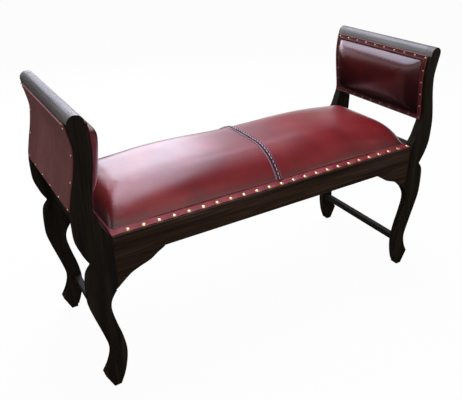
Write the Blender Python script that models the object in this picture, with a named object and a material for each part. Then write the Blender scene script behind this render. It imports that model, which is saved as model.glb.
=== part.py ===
"""Scroll-arm bench: a dark wood frame of sawn planks, a crowned leather seat in two
halves with a double-stitched seam, and two upholstered arms set with brass nails.

Metres, +Z up, front towards -Y, origin on the floor under the middle of the bench."""

import math

import bmesh
import bpy
from mathutils import Vector

# Overall sizes
DEPTH = 0.3716  # front faces to back faces of the planks
HALF_SPAN = 0.456  # middle of the bench to the arm posts' inner toes
SWAY = 0.076  # how far the posts' bellies reach out past their toes
LEG_HEIGHT = 0.3585  # floor to the joint of leg and arm post
APRON_HEIGHT = 0.0615
ARM_RISE = 0.281  # seat rail to the top of the arms
PLANK = 0.024  # sawn stock of legs, posts, aprons and brackets
CLEARANCE = 0.0003  # between pieces that touch
EASE = 0.003  # worn edges of legs and posts

# Curved brackets under the aprons
BRACKET_LENGTH = 0.1195
BRACKET_DROP = 0.0715
BRACKET_LIP = 0.002

# End rails and stretchers
END_RAIL_THICKNESS = 0.024
END_RAIL_INSET = 0.008  # from the posts' toes outwards to the rail's inner face
END_TENON_SHIFT = 0.0024  # outwards of the rail's middle, clear of the apron's tenon
STRETCHER_WIDTH = 0.0175
STRETCHER_HEIGHT = 0.018
STRETCHER_LEVEL = 0.1003
STRETCHER_INSET = 0.011
STRETCHER_SHOULDER = 0.003  # above and below its tenons

# Tenons and dowels
TENON_THICKNESS = 0.009
TENON_DEPTH = 0.014
TENON_ROOT = 0.003  # how far a tenon is grown into its own rail
RAIL_TENON_HEIGHT = 0.028
RAIL_TENON_DROP = 0.009  # under the top of the rail
LOOSE_TENON_WIDTH = 0.022
LOOSE_TENON_REACH = 0.018  # into the leg and into the post
DOWEL_RADIUS = 0.004
DOWEL_LENGTH = 0.034
DOWEL_SIDES = 8
BRACKET_DOWEL = 0.054  # from the leg to the dowel between bracket and apron

# Arm frames
CREST_HEIGHT = 0.055
CREST_TENON_RISE = 0.0231  # underside of the crest rail to the middle of its tenons
CREST_TENON_HEIGHT = 0.026
ARM_RAIL_RISE = 0.0745  # seat rail to the underside of the arm's lower rail
ARM_RAIL_HEIGHT = 0.040
ARM_TENON_HEIGHT = 0.024
BOARD = 0.004  # bent plywood on both faces of an arm

# Seat platform
SEAT_BOARD = 0.009
BATTEN_WIDTH = 0.020
BATTEN_HEIGHT = 0.020
BEARER_WIDTH = 0.030
BEARER_PLACE = 0.150
CORNER_BLOCK_LEG = 0.050
CORNER_BLOCK_HEIGHT = 0.038

# Seat upholstery
LEATHER = 0.0018
SEAT_LIP_MARGIN = 0.0018  # the apron's front edge to the edge of the leather
SEAT_LIP_FRONT = 0.017
SEAT_LIP_END = 0.0025
SEAT_CROWN = 0.0710
SEAT_RUN_FRONT = 0.134  # how far the crown takes to rise from the long sides
SEAT_RUN_END = 0.056
SEAT_POWER = 3.2
SEAT_CORNER = 0.014
SEAT_FALL = 0.012  # how much lower the crown is at the ends
SEAT_SWELL = 0.008  # how much each half rises between the seam and its end
SEAT_BOW = 0.002  # how far the long sides pull in between the corners
TUCK = 0.0022  # how far a pad is drawn in at its foot
TUCK_RISE = 0.005
SEAM_WIDTH = 0.021
SEAM_THICKNESS = 0.0020

# Arm upholstery
ARM_LEATHER_MARGIN = 0.008  # the posts' faces to the edge of the inner leather
ARM_LEATHER_TOP = 0.021  # the top of the arm down to the edge of the leather
BORDER = 0.0125
BORDER_THICKNESS = 0.0012
BORDER_REVEAL = 0.0006
ARM_CROWN = 0.038
ARM_RUN_LONG = 0.100  # how far the crown takes to rise from the arm's front and back
ARM_RUN_SHORT = 0.074  # and from its top and bottom
ARM_POWER = 3.6
ARM_CORNER = 0.009
OUTER_PANEL = 0.0035
OUTER_PANEL_LAP = 0.004  # how far the outer leather laps over each post

# How finely curves are cut
CURVE_STEPS = 4
ARC_STEPS = 8
CORNER_STEPS = 3
PAD_RINGS = 7
RING_CROWDING = 1.5  # above 1, a pad's rings lie closer together near its foot
SEAT_STEPS = (14, 4)  # parts of a seat ring's long and short sides
ARM_STEPS = (10, 6)
RIDGE_ROUND = 0.5  # how round the topmost ring's ends are
FLANGE_CORNER = 0.001
NEAR = 0.00001  # points closer than this count as one

# Worked out from the sizes above
RAIL_TOP = LEG_HEIGHT + APRON_HEIGHT
ARM_TOP = RAIL_TOP + ARM_RISE
HALF_DEPTH = DEPTH / 2
INNER_FACE = HALF_DEPTH - PLANK
PLANK_MIDDLE = HALF_DEPTH - PLANK / 2
END_RAIL_IN = HALF_SPAN + END_RAIL_INSET
END_RAIL_OUT = END_RAIL_IN + END_RAIL_THICKNESS
ARM_RAIL_BOTTOM = RAIL_TOP + ARM_RAIL_RISE
CREST_BOTTOM = ARM_TOP - CREST_HEIGHT
SIDES = {"left": -1, "right": 1}
FACES = {"front": -1, "back": 1}

# Outlines of the sawn planks. The first number of a knot says how far it lies outside
# the posts' toes, as a share of SWAY. The second is a share of the height named below.
LEG_OUTER = [
    (0.776, 0.118),
    (0.579, 0.195),
    (0.461, 0.293),
    (0.553, 0.405),
    (0.862, 0.655),
    (0.914, 0.770),
    (0.849, 0.930),
    (0.638, 1.000),
]  # share of the leg's height, foot to joint
LEG_INNER = [
    (0.000, 0.800),
    (0.230, 0.725),
    (0.283, 0.650),
    (0.180, 0.530),
    (0.039, 0.405),
    (-0.026, 0.265),
    (0.099, 0.112),
    (0.303, 0.000),
]
SOLE_EDGE = 0.539  # share of SWAY, at the outer end of the sole
POST_OUTER = [
    (0.638, -1.0),
    (0.855, -0.49),
    (0.980, 0.0),
    (1.000, 0.11),
    (0.974, 0.25),
    (0.868, 0.39),
    (0.737, 0.53),
    (0.654, 0.66),
    (0.647, 0.75),
    (0.737, 0.89),
    (0.770, 0.94),
]  # share of the apron's height below the rail's top, of the arm's rise above it
POST_INNER = [
    (0.000, 0.0),
    (0.204, 0.085),
    (0.336, 0.19),
    (0.424, 0.27),
    (0.418, 0.35),
    (0.349, 0.47),
    (0.270, 0.62),
    (0.234, 0.74),
    (0.257, 0.855),
    (0.309, 0.94),
]
BRACKET_CURVE = [
    (1.000, 0.0),
    (0.860, 0.135),
    (0.690, 0.330),
    (0.480, 0.460),
    (0.290, 0.600),
    (0.130, 0.810),
    (0.0, 1.0),
]  # shares of the bracket's length and of its drop


def smooth(knots, steps=CURVE_STEPS):
    """Points of a Catmull-Rom curve through the knots."""
    points = [Vector(knot) for knot in knots]
    points = [2 * points[0] - points[1]] + points + [2 * points[-1] - points[-2]]
    curve = []
    for before, start, end, after in zip(points, points[1:], points[2:], points[3:]):
        for step in range(steps):
            t = step / steps
            curve.append(0.5 * (
                2 * start + (end - before) * t
                + (2 * before - 5 * start + 4 * end - after) * t * t
                + (3 * start - before - 3 * end + after) * t ** 3))
    curve.append(points[-2])
    return [(point.x, point.y) for point in curve]


def leg_point(knot):
    return HALF_SPAN + knot[0] * SWAY, knot[1] * LEG_HEIGHT


def post_point(knot):
    rise = ARM_RISE if knot[1] > 0 else APRON_HEIGHT
    return HALF_SPAN + knot[0] * SWAY, RAIL_TOP + knot[1] * rise


OUTER_EDGE = smooth([post_point(knot) for knot in POST_OUTER])
INNER_EDGE = smooth([post_point(knot) for knot in POST_INNER])


def at_height(edge, height):
    """Where an edge of the post lies at a height, and how fast it moves outwards there."""
    for (x0, z0), (x1, z1) in zip(edge, edge[1:]):
        if height <= z1 or (x1, z1) == edge[-1]:
            slope = (x1 - x0) / (z1 - z0)
            return x0 + slope * (height - z0), slope


def along(edge, offset, low, high):
    """The post's edge moved outwards by an offset, between two heights."""
    heights = [low] + [z for _, z in edge if low + NEAR < z < high - NEAR] + [high]
    return [(at_height(edge, z)[0] + offset, z) for z in heights]


def with_level(edge, height):
    """The post's edge with one more point on it, at a height."""
    points = [point for point in edge if abs(point[1] - height) > NEAR]
    points.append((at_height(edge, height)[0], height))
    return sorted(points, key=lambda point: point[1])


def scroll_top(half_turns=ARC_STEPS):
    """The rounded top that posts and crest rails share, from outside to inside."""
    outer, shoulder = OUTER_EDGE[-1]
    inner = INNER_EDGE[-1][0]
    middle = (outer + inner) / 2
    arc = []
    for step in range(1, half_turns):
        angle = math.pi * step / half_turns
        x = middle + (outer - inner) / 2 * math.cos(angle)
        arc.append((x, shoulder + (ARM_TOP - shoulder) * math.sin(angle)))
    return arc


def material(name, colour, roughness, metallic=0.0):
    made = bpy.data.materials.new(name)
    made.use_nodes = True
    shader = made.node_tree.nodes["Principled BSDF"]
    shader.inputs["Base Color"].default_value = (*colour, 1.0)
    shader.inputs["Roughness"].default_value = roughness
    shader.inputs["Metallic"].default_value = metallic
    return made


def show(name, bm, finish):
    """Puts a finished mesh into the scene as a named object."""
    bmesh.ops.recalc_face_normals(bm, faces=bm.faces)
    if bm.calc_volume(signed=True) < 0:
        bmesh.ops.reverse_faces(bm, faces=bm.faces)
    mesh = bpy.data.meshes.new(name)
    bm.to_mesh(mesh)
    bm.free()
    mesh.materials.append(finish)
    made = bpy.data.objects.new(name, mesh)
    bpy.context.collection.objects.link(made)
    return made


def bridge(bm, ring_a, ring_b):
    """Joins two closed rings of vertices with a band of faces."""
    count = len(ring_a)
    for index in range(count):
        after = (index + 1) % count
        bm.faces.new((ring_a[index], ring_a[after], ring_b[after], ring_b[index]))


def loft(bm, rings, caps=True):
    """A skin over closed rings of points, capped at its two ends."""
    made = [[bm.verts.new(point) for point in ring] for ring in rings]
    for ring_a, ring_b in zip(made, made[1:]):
        bridge(bm, ring_a, ring_b)
    if caps:
        bm.faces.new(made[0])
        bm.faces.new(made[-1])
    return made


def box_mesh(low, high):
    bm = bmesh.new()
    rings = []
    for z in (low[2], high[2]):
        rings.append([(low[0], low[1], z), (high[0], low[1], z),
                      (high[0], high[1], z), (low[0], high[1], z)])
    loft(bm, rings)
    return bm


def box(name, low, high, finish):
    return show(name, box_mesh(low, high), finish)


def plank(name, outline, side, near, far, finish, eased=None):
    """A piece sawn to an outline in X and Z, with its thickness along Y.

    eased tells from a point's X, Y and Z, all of them positive, whether the edges
    there are worn round."""
    bm = bmesh.new()
    loft(bm, [[(side * x, y, z) for x, z in outline] for y in (near, far)])
    if eased:
        worn = [edge for edge in bm.edges
                if abs(edge.verts[0].co.y - edge.verts[1].co.y) < NEAR
                and all(eased(abs(vert.co.x), abs(vert.co.y), vert.co.z)
                        for vert in edge.verts)]
        bmesh.ops.recalc_face_normals(bm, faces=bm.faces)
        bmesh.ops.bevel(bm, geom=worn, offset=EASE, segments=1, affect="EDGES")
    return show(name, bm, finish)


def cut_or_join(target, tool, operation):
    """A Boolean modifier with a hidden tool object."""
    tool.hide_render = True
    tool.display_type = "WIRE"
    modifier = target.modifiers.new(operation.title(), "BOOLEAN")
    modifier.operation = operation
    modifier.object = tool


def mortise(piece, low, high):
    """Sinks a socket in a piece, a clearance wider than the tenon that fits it."""
    wide_low = [value - CLEARANCE for value in low]
    wide_high = [value + CLEARANCE for value in high]
    socket = box("socket_in_" + piece.name, wide_low, wide_high, piece.data.materials[0])
    cut_or_join(piece, socket, "DIFFERENCE")


def tenon(rail, post, low, high):
    """Grows a tenon on a rail and sinks its mortise in the post."""
    tongue = box("tongue_of_" + rail.name, low, high, rail.data.materials[0])
    cut_or_join(rail, tongue, "UNION")
    mortise(post, low, high)


def rod(name, start, end, radius, finish):
    """A closed round rod between two points."""
    run = end - start
    across = run.orthogonal().normalized()
    other = run.normalized().cross(across)
    rings = []
    for centre in (start, end):
        ring = []
        for step in range(DOWEL_SIDES):
            angle = math.tau * step / DOWEL_SIDES
            ring.append(centre + radius * (math.cos(angle) * across + math.sin(angle) * other))
        rings.append(ring)
    bm = bmesh.new()
    loft(bm, rings)
    return show(name, bm, finish)


def dowel(name, middle, direction, pieces, wood):
    """A dowel across a joint, with its hole drilled a clearance wider in both pieces."""
    half = Vector(direction) * DOWEL_LENGTH / 2
    spare = Vector(direction) * CLEARANCE
    middle = Vector(middle)
    rod(name, middle - half, middle + half, DOWEL_RADIUS, wood)
    for piece in pieces:
        hole = rod("hole_in_" + piece.name, middle - half - spare, middle + half + spare,
                   DOWEL_RADIUS + CLEARANCE, wood)
        cut_or_join(piece, hole, "DIFFERENCE")


def rounded_rectangle(half_a, half_b, corner, steps, bow=0.0):
    """Points round a rectangle with round corners, centred on zero.

    They run from the corner (+a, +b) along +b first. steps tells how many parts the
    sides along a and along b are cut into. The sides along a are drawn in by bow."""
    flat_a = half_a - corner
    flat_b = half_b - corner
    points = []
    for quarter, (sign_a, sign_b) in enumerate(((1, 1), (-1, 1), (-1, -1), (1, -1))):
        for turn in range(CORNER_STEPS + 1):
            angle = math.pi / 2 * (quarter + turn / CORNER_STEPS)
            points.append((sign_a * flat_a + corner * math.cos(angle),
                           sign_b * flat_b + corner * math.sin(angle)))
        along_a = quarter % 2 == 0
        count = steps[0] if along_a else steps[1]
        for step in range(1, count):
            share = 1 - 2 * step / count
            if along_a:
                points.append((sign_a * flat_a * share, sign_b * half_b))
            else:
                points.append((sign_a * half_a, sign_b * flat_b * share))
    drawn = []
    for a, b in points:
        pull = bow * max(0.0, 1 - (a / half_a) ** 2) * abs(b) / half_b
        drawn.append((a, b - math.copysign(pull, b)))
    return drawn


class Pad:
    """A crowned pad on a rectangle: its rings shrink inwards as its height rises."""

    def __init__(self, half, run, crown, power, corner, fall, swell, bow, steps):
        self.half = half
        self.run = run
        self.crown = crown
        self.power = power
        self.corner = corner
        self.fall = fall
        self.swell = swell
        self.bow = bow
        self.steps = steps

    def ring(self, half_a, half_b, corner):
        return rounded_rectangle(half_a, half_b, corner, self.steps, self.bow)

    def rings(self, inset):
        """Rings of (a, b, height) for a skin that lies inset under the outside."""
        half_a, half_b = (half - inset for half in self.half)
        foot = self.ring(half_a - TUCK, half_b - TUCK, self.corner)
        rings = [[(a, b, 0.0) for a, b in foot]]
        top_corner = (half_b - self.run[1]) * RIDGE_ROUND
        for step in range(PAD_RINGS + 1):
            share = (step / PAD_RINGS) ** RING_CROWDING
            rise = 1 - (1 - share) ** self.power
            a_now = half_a - self.run[0] * share
            b_now = half_b - self.run[1] * share
            corner = self.corner + (top_corner - self.corner) * share
            top = self.crown - inset - TUCK_RISE
            ring = []
            for a, b in self.ring(a_now, b_now, corner):
                out = a / half_a
                shape = self.swell * math.sin(math.pi * out) ** 2 - self.fall * out ** 2
                ring.append((a, b, TUCK_RISE + (top + shape) * rise))
            rings.append(ring)
        return rings

    def flange(self, edge_a, edge_b):
        return rounded_rectangle(edge_a, edge_b, FLANGE_CORNER, self.steps)

    def close_crown(self, bm, ring):
        """Fills the last ring with strips across it, from +b to -b."""
        opposite = len(ring) - self.steps[1]
        last = 2 * CORNER_STEPS + self.steps[0]
        for index in range(last):
            strip = [ring[index], ring[index + 1]]
            if index == last - 1:
                strip += ring[last + 1:opposite - last]
            strip += [ring[opposite - index - 1], ring[opposite - index]]
            if index == 0:
                strip += ring[opposite + 1:]
            bm.faces.new(strip)


def leather_skin(pad, edge_a, edge_b):
    """A leather cover: a flat flange all round, and a crown that is hollow beneath."""
    outer = [[(a, b, LEATHER + h) for a, b, h in ring] for ring in pad.rings(0.0)]
    edge = pad.flange(edge_a, edge_b)
    edge_top = [(a, b, LEATHER) for a, b in edge]
    edge_foot = [(a, b, 0.0) for a, b in edge]
    bm = bmesh.new()
    rings = loft(bm, outer[::-1] + [edge_top, edge_foot] + pad.rings(LEATHER), caps=False)
    pad.close_crown(bm, rings[0])
    pad.close_crown(bm, rings[-1])
    bmesh.ops.recalc_face_normals(bm, faces=bm.faces)
    return bm


def filling(pad):
    """The foam under a leather cover, with a flat foot."""
    bm = bmesh.new()
    rings = loft(bm, pad.rings(LEATHER + CLEARANCE), caps=False)
    bm.faces.new(rings[0])
    pad.close_crown(bm, rings[-1])
    return bm


def bend_to_arm(bm, side, middle):
    """Lays a flat mesh of (along the arm, up the arm, height) on an arm's inner face.

    Its flat faces are first split at the levels where the arm's face changes slope."""
    reach = max(vert.co.y for vert in bm.verts)
    for _, z in INNER_EDGE:
        level = z - middle
        if abs(level) > reach:
            continue
        flat = [face for face in bm.faces
                if max(v.co.z for v in face.verts) - min(v.co.z for v in face.verts) < NEAR]
        edges = {edge for face in flat for edge in face.edges}
        verts = {vert for face in flat for vert in face.verts}
        bmesh.ops.bisect_plane(bm, geom=flat + list(edges) + list(verts),
                               plane_co=(0, level, 0), plane_no=(0, 1, 0))
    for vert in bm.verts:
        along_arm, up, height = vert.co
        z = middle + up
        x = at_height(INNER_EDGE, z)[0] - CLEARANCE - height
        vert.co = (side * x, along_arm, z)


def clear_scene():
    for old in list(bpy.data.objects):
        bpy.data.objects.remove(old, do_unlink=True)


def make_legs(wood):
    """Four sawn legs with a knee, an ankle and a kicked foot."""
    legs = {}
    joint = LEG_HEIGHT - CLEARANCE
    outer = smooth([leg_point(knot) for knot in LEG_OUTER])
    outer[-1] = (outer[-1][0], joint)
    inner = smooth([leg_point(knot) for knot in LEG_INNER])
    outline = [(HALF_SPAN, joint)] + inner
    outline += [(HALF_SPAN + SOLE_EDGE * SWAY, 0.0)] + outer

    def free(x, y, z):
        beside_bracket = abs(x - HALF_SPAN) < NEAR and z > inner[0][1] - NEAR
        return NEAR < z < joint - NEAR and not beside_bracket

    for face, towards in FACES.items():
        for end, side in SIDES.items():
            near, far = sorted((towards * HALF_DEPTH, towards * INNER_FACE))
            name = f"leg_{face}_{end}"
            legs[face, end] = plank(name, outline, side, near, far, wood, free)
    return legs


def make_posts(wood):
    """Four S-curved arm posts with rounded tops."""
    posts = {}
    inner = with_level(INNER_EDGE, ARM_RAIL_BOTTOM)
    outline = [(HALF_SPAN, LEG_HEIGHT)] + with_level(OUTER_EDGE, ARM_RAIL_BOTTOM)
    outline += scroll_top() + inner[::-1]

    def free(x, y, z):
        # On their inner faces the posts are flush with the arm, from its lower rail up.
        beside_arm = abs(y - INNER_FACE) < NEAR and z > ARM_RAIL_BOTTOM + NEAR
        return z > LEG_HEIGHT + NEAR and abs(x - HALF_SPAN) > NEAR and not beside_arm

    for face, towards in FACES.items():
        for end, side in SIDES.items():
            near, far = sorted((towards * HALF_DEPTH, towards * INNER_FACE))
            name = f"arm_post_{face}_{end}"
            posts[face, end] = plank(name, outline, side, near, far, wood, free)
    return posts


def make_aprons(wood, posts):
    """The two long rails, tenoned into the posts."""
    aprons = {}
    half = HALF_SPAN - CLEARANCE
    for face, towards in FACES.items():
        near, far = sorted((towards * HALF_DEPTH, towards * INNER_FACE))
        low, high = (-half, near, LEG_HEIGHT), (half, far, RAIL_TOP)
        apron = box(f"apron_{face}", low, high, wood)
        top = RAIL_TOP - RAIL_TENON_DROP
        middle = towards * PLANK_MIDDLE
        for end, side in SIDES.items():
            run = sorted((side * (half - TENON_ROOT), side * (half + TENON_DEPTH)))
            tenon(apron, posts[face, end],
                  (run[0], middle - TENON_THICKNESS / 2, top - RAIL_TENON_HEIGHT),
                  (run[1], middle + TENON_THICKNESS / 2, top))
        aprons[face] = apron
    return aprons


def make_brackets(wood):
    """Curved brackets in the corners of legs and aprons."""
    brackets = {}
    foot = HALF_SPAN - CLEARANCE
    top = LEG_HEIGHT - CLEARANCE
    drop = BRACKET_DROP - BRACKET_LIP
    knots = [(foot - length * BRACKET_LENGTH, top - BRACKET_LIP - share * drop)
             for length, share in BRACKET_CURVE]
    outline = [(foot, top), (foot - BRACKET_LENGTH, top)] + smooth(knots)
    for face, towards in FACES.items():
        for end, side in SIDES.items():
            near, far = sorted((towards * HALF_DEPTH, towards * INNER_FACE))
            brackets[face, end] = plank(f"bracket_{face}_{end}", outline, side, near, far, wood)
    return brackets


def make_joints(wood, legs, posts, aprons, brackets):
    """Loose tenons from leg to post, and dowels from the brackets to leg and apron."""
    seam = LEG_HEIGHT - CLEARANCE / 2
    joint = HALF_SPAN - CLEARANCE / 2
    block = (HALF_SPAN + post_point(POST_OUTER[0])[0]) / 2
    for corner, leg in legs.items():
        face, end = corner
        side = SIDES[end]
        y = FACES[face] * PLANK_MIDDLE
        x = side * block
        low = (x - LOOSE_TENON_WIDTH / 2, y - TENON_THICKNESS / 2, seam - LOOSE_TENON_REACH)
        high = (x + LOOSE_TENON_WIDTH / 2, y + TENON_THICKNESS / 2, seam + LOOSE_TENON_REACH)
        box(f"loose_tenon_{face}_{end}", low, high, wood)
        mortise(leg, low, high)
        mortise(posts[corner], low, high)
        beside = (side * joint, y, LEG_HEIGHT - BRACKET_DROP / 2)
        dowel(f"dowel_leg_{face}_{end}", beside, (1, 0, 0), (leg, brackets[corner]), wood)
        above = (side * (HALF_SPAN - BRACKET_DOWEL), y, seam)
        dowel(f"dowel_apron_{face}_{end}", above, (0, 0, 1),
              (aprons[face], brackets[corner]), wood)


def rail_between(name, low_x, high_x, low_z, high_z, side, wood):
    """A plain rail from the front planks to the back planks."""
    reach = INNER_FACE - CLEARANCE
    x = sorted((side * low_x, side * high_x))
    return box(name, (x[0], -reach, low_z), (x[1], reach, high_z), wood)


def end_tenons(rail, posts, end, x, low_z, high_z, thickness=TENON_THICKNESS):
    """Tenons on both ends of a front-to-back rail."""
    reach = INNER_FACE - CLEARANCE
    middle = SIDES[end] * x
    for face, towards in FACES.items():
        y = sorted((towards * (reach - TENON_ROOT), towards * (reach + TENON_DEPTH)))
        tenon(rail, posts[face, end], (middle - thickness / 2, y[0], low_z),
              (middle + thickness / 2, y[1], high_z))


def make_cross_rails(wood, legs, posts):
    """End rails of the seat frame and the stretchers between the legs."""
    for end, side in SIDES.items():
        rail = rail_between(f"end_rail_{end}", END_RAIL_IN, END_RAIL_OUT,
                            LEG_HEIGHT, RAIL_TOP, side, wood)
        top = RAIL_TOP - RAIL_TENON_DROP
        middle = (END_RAIL_IN + END_RAIL_OUT) / 2 + END_TENON_SHIFT
        end_tenons(rail, posts, end, middle, top - RAIL_TENON_HEIGHT, top)
        middle = HALF_SPAN + STRETCHER_INSET
        low, high = middle - STRETCHER_WIDTH / 2, middle + STRETCHER_WIDTH / 2
        floor = STRETCHER_LEVEL - STRETCHER_HEIGHT / 2
        ceiling = STRETCHER_LEVEL + STRETCHER_HEIGHT / 2
        bar = rail_between(f"stretcher_{end}", low, high, floor, ceiling, side, wood)
        end_tenons(bar, legs, end, middle, floor + STRETCHER_SHOULDER,
                   ceiling - STRETCHER_SHOULDER)


def make_arm_frame(wood, ply, posts):
    """Crest rail, lower rail and the two bent boards of each arm."""
    reach = INNER_FACE - CLEARANCE
    shoulder = OUTER_EDGE[-1][1]
    crest = along(INNER_EDGE, 0.0, CREST_BOTTOM, shoulder)[::-1]
    crest = along(OUTER_EDGE, 0.0, CREST_BOTTOM, shoulder) + scroll_top() + crest
    rail_top = ARM_RAIL_BOTTOM + ARM_RAIL_HEIGHT
    low_rail = along(OUTER_EDGE, 0.0, ARM_RAIL_BOTTOM, rail_top)
    low_rail += along(INNER_EDGE, 0.0, ARM_RAIL_BOTTOM, rail_top)[::-1]
    low, high = rail_top + CLEARANCE, CREST_BOTTOM - CLEARANCE
    boards = {
        "arm_outer_board": along(OUTER_EDGE, 0.0, low, high)
        + along(OUTER_EDGE, -BOARD, low, high)[::-1],
        "arm_inner_board": along(INNER_EDGE, BOARD, low, high)
        + along(INNER_EDGE, 0.0, low, high)[::-1],
    }
    for end, side in SIDES.items():
        top = plank(f"crest_rail_{end}", crest, side, -reach, reach, wood)
        level = CREST_BOTTOM + CREST_TENON_RISE
        middle = (at_height(INNER_EDGE, level)[0] + at_height(OUTER_EDGE, level)[0]) / 2
        half = CREST_TENON_HEIGHT / 2
        end_tenons(top, posts, end, middle, level - half, level + half)
        bottom = plank(f"arm_low_rail_{end}", low_rail, side, -reach, reach, wood)
        level = ARM_RAIL_BOTTOM + ARM_RAIL_HEIGHT / 2
        middle = (at_height(INNER_EDGE, level)[0] + at_height(OUTER_EDGE, level)[0]) / 2
        half = ARM_TENON_HEIGHT / 2
        end_tenons(bottom, posts, end, middle, level - half, level + half)
        for name, outline in boards.items():
            plank(f"{name}_{end}", outline, side, -reach, reach, ply)


def make_seat_platform(wood, ply):
    """The board that carries the seat, on battens, bearers and corner blocks."""
    half_x = END_RAIL_IN - CLEARANCE
    half_y = INNER_FACE - CLEARANCE
    underside = RAIL_TOP - SEAT_BOARD
    box("seat_board", (-half_x, -half_y, underside), (half_x, half_y, RAIL_TOP), ply)
    ledge = underside - CLEARANCE
    batten_half = half_x - CORNER_BLOCK_LEG - CLEARANCE
    batten_in = half_y - BATTEN_WIDTH
    for face, towards in FACES.items():
        y = sorted((towards * half_y, towards * batten_in))
        box(f"seat_batten_{face}", (-batten_half, y[0], ledge - BATTEN_HEIGHT),
            (batten_half, y[1], ledge), wood)
    bearer_reach = batten_in - CLEARANCE
    for end, side in SIDES.items():
        x = side * BEARER_PLACE
        box(f"seat_bearer_{end}", (x - BEARER_WIDTH / 2, -bearer_reach, ledge - BATTEN_HEIGHT),
            (x + BEARER_WIDTH / 2, bearer_reach, ledge), wood)
    for face, towards in FACES.items():
        for end, side in SIDES.items():
            corner = (side * half_x, towards * half_y)
            along_x = (corner[0] - side * CORNER_BLOCK_LEG, corner[1])
            along_y = (corner[0], corner[1] - towards * CORNER_BLOCK_LEG)
            bm = bmesh.new()
            rings = [[(*point, z) for point in (corner, along_x, along_y)]
                     for z in (ledge - CORNER_BLOCK_HEIGHT, ledge)]
            loft(bm, rings)
            show(f"corner_block_{face}_{end}", bm, wood)


def seat_pad():
    half_a = HALF_SPAN - CLEARANCE - SEAT_LIP_END
    half_b = HALF_DEPTH - SEAT_LIP_MARGIN - SEAT_LIP_FRONT
    return Pad((half_a, half_b), (SEAT_RUN_END, SEAT_RUN_FRONT), SEAT_CROWN, SEAT_POWER,
               SEAT_CORNER, SEAT_FALL, SEAT_SWELL, SEAT_BOW, SEAT_STEPS)


def lay_on_seat(bm):
    bmesh.ops.translate(bm, verts=bm.verts, vec=(0, 0, RAIL_TOP + CLEARANCE))


def make_seat(leather, dark_leather, foam):
    """The crowned seat: filling, two leather halves and the lapped seam."""
    pad = seat_pad()
    bm = filling(pad)
    lay_on_seat(bm)
    show("seat_foam", bm, foam)
    edge_a = HALF_SPAN - 2 * CLEARANCE
    edge_b = HALF_DEPTH - SEAT_LIP_MARGIN
    for end, side in SIDES.items():
        bm = leather_skin(pad, edge_a, edge_b)
        lay_on_seat(bm)
        cut = bmesh.ops.bisect_plane(
            bm, geom=bm.verts[:] + bm.edges[:] + bm.faces[:],
            plane_co=(side * CLEARANCE / 2, 0, 0), plane_no=(side, 0, 0), clear_inner=True)
        rim = [item for item in cut["geom_cut"] if isinstance(item, bmesh.types.BMEdge)]
        bmesh.ops.edgeloop_fill(bm, edges=rim)
        show(f"seat_leather_{end}", bm, leather)
    make_seam(pad, dark_leather)


def make_seam(pad, leather):
    """The strip that laps over the joint of the two halves, front to back."""
    rings = pad.rings(0.0)[1:]
    front = [min((p for p in ring if p[1] < 0), key=lambda p: abs(p[0])) for ring in rings]
    back = [(a, -b, h) for a, b, h in front]
    path = [Vector((b, LEATHER + h)) for a, b, h in front + back[::-1]]
    bm = bmesh.new()
    sections = []
    for index, point in enumerate(path):
        before = path[max(index - 1, 0)]
        after = path[min(index + 1, len(path) - 1)]
        run = (after - before).normalized()
        out = Vector((-run.y, run.x))
        low = point + out * CLEARANCE
        high = point + out * (CLEARANCE + SEAM_THICKNESS)
        section = []
        for x, spot in ((-1, low), (1, low), (1, high), (-1, high)):
            section.append((x * SEAM_WIDTH / 2, spot.x, spot.y))
        sections.append(section)
    loft(bm, sections)
    lay_on_seat(bm)
    show("seat_seam_strip", bm, leather)


def arm_pad_sizes():
    """Middle height and half sizes of the leather on the inner side of an arm."""
    low = ARM_RAIL_BOTTOM + CLEARANCE
    high = ARM_TOP - ARM_LEATHER_TOP
    return (low + high) / 2, HALF_DEPTH - ARM_LEATHER_MARGIN, (high - low) / 2


def make_arm_pad(end, side, leather, border_leather, foam):
    """The inner pad of one arm: filling, leather and the border strip round it."""
    middle, edge_a, edge_b = arm_pad_sizes()
    pad = Pad((edge_a - BORDER, edge_b - BORDER), (ARM_RUN_LONG, ARM_RUN_SHORT), ARM_CROWN,
              ARM_POWER, ARM_CORNER, 0.0, 0.0, 0.0, ARM_STEPS)

    bm = filling(pad)
    bend_to_arm(bm, side, middle)
    show(f"arm_pad_foam_{end}", bm, foam)
    bm = leather_skin(pad, edge_a, edge_b)
    bend_to_arm(bm, side, middle)
    show(f"arm_pad_leather_{end}", bm, leather)

    foot = LEATHER + CLEARANCE
    head = foot + BORDER_THICKNESS
    outer = pad.flange(edge_a - BORDER_REVEAL, edge_b - BORDER_REVEAL)
    inner = pad.ring(edge_a - BORDER + BORDER_REVEAL, edge_b - BORDER + BORDER_REVEAL, ARM_CORNER)
    bm = bmesh.new()
    rings = loft(bm, [[(a, b, foot) for a, b in outer], [(a, b, head) for a, b in outer],
                      [(a, b, head) for a, b in inner], [(a, b, foot) for a, b in inner]],
                 caps=False)
    bridge(bm, rings[-1], rings[0])
    bend_to_arm(bm, side, middle)
    show(f"arm_border_{end}", bm, border_leather)


def make_outer_panel(end, side, leather):
    """The flat leather on the outer side of one arm."""
    low = ARM_RAIL_BOTTOM + CLEARANCE
    high = ARM_TOP - ARM_LEATHER_TOP
    reach = INNER_FACE + OUTER_PANEL_LAP
    outline = along(OUTER_EDGE, CLEARANCE, low, high)
    outline += along(OUTER_EDGE, CLEARANCE + OUTER_PANEL, low, high)[::-1]
    plank(f"outer_panel_{end}", outline, side, -reach, reach, leather)


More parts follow.
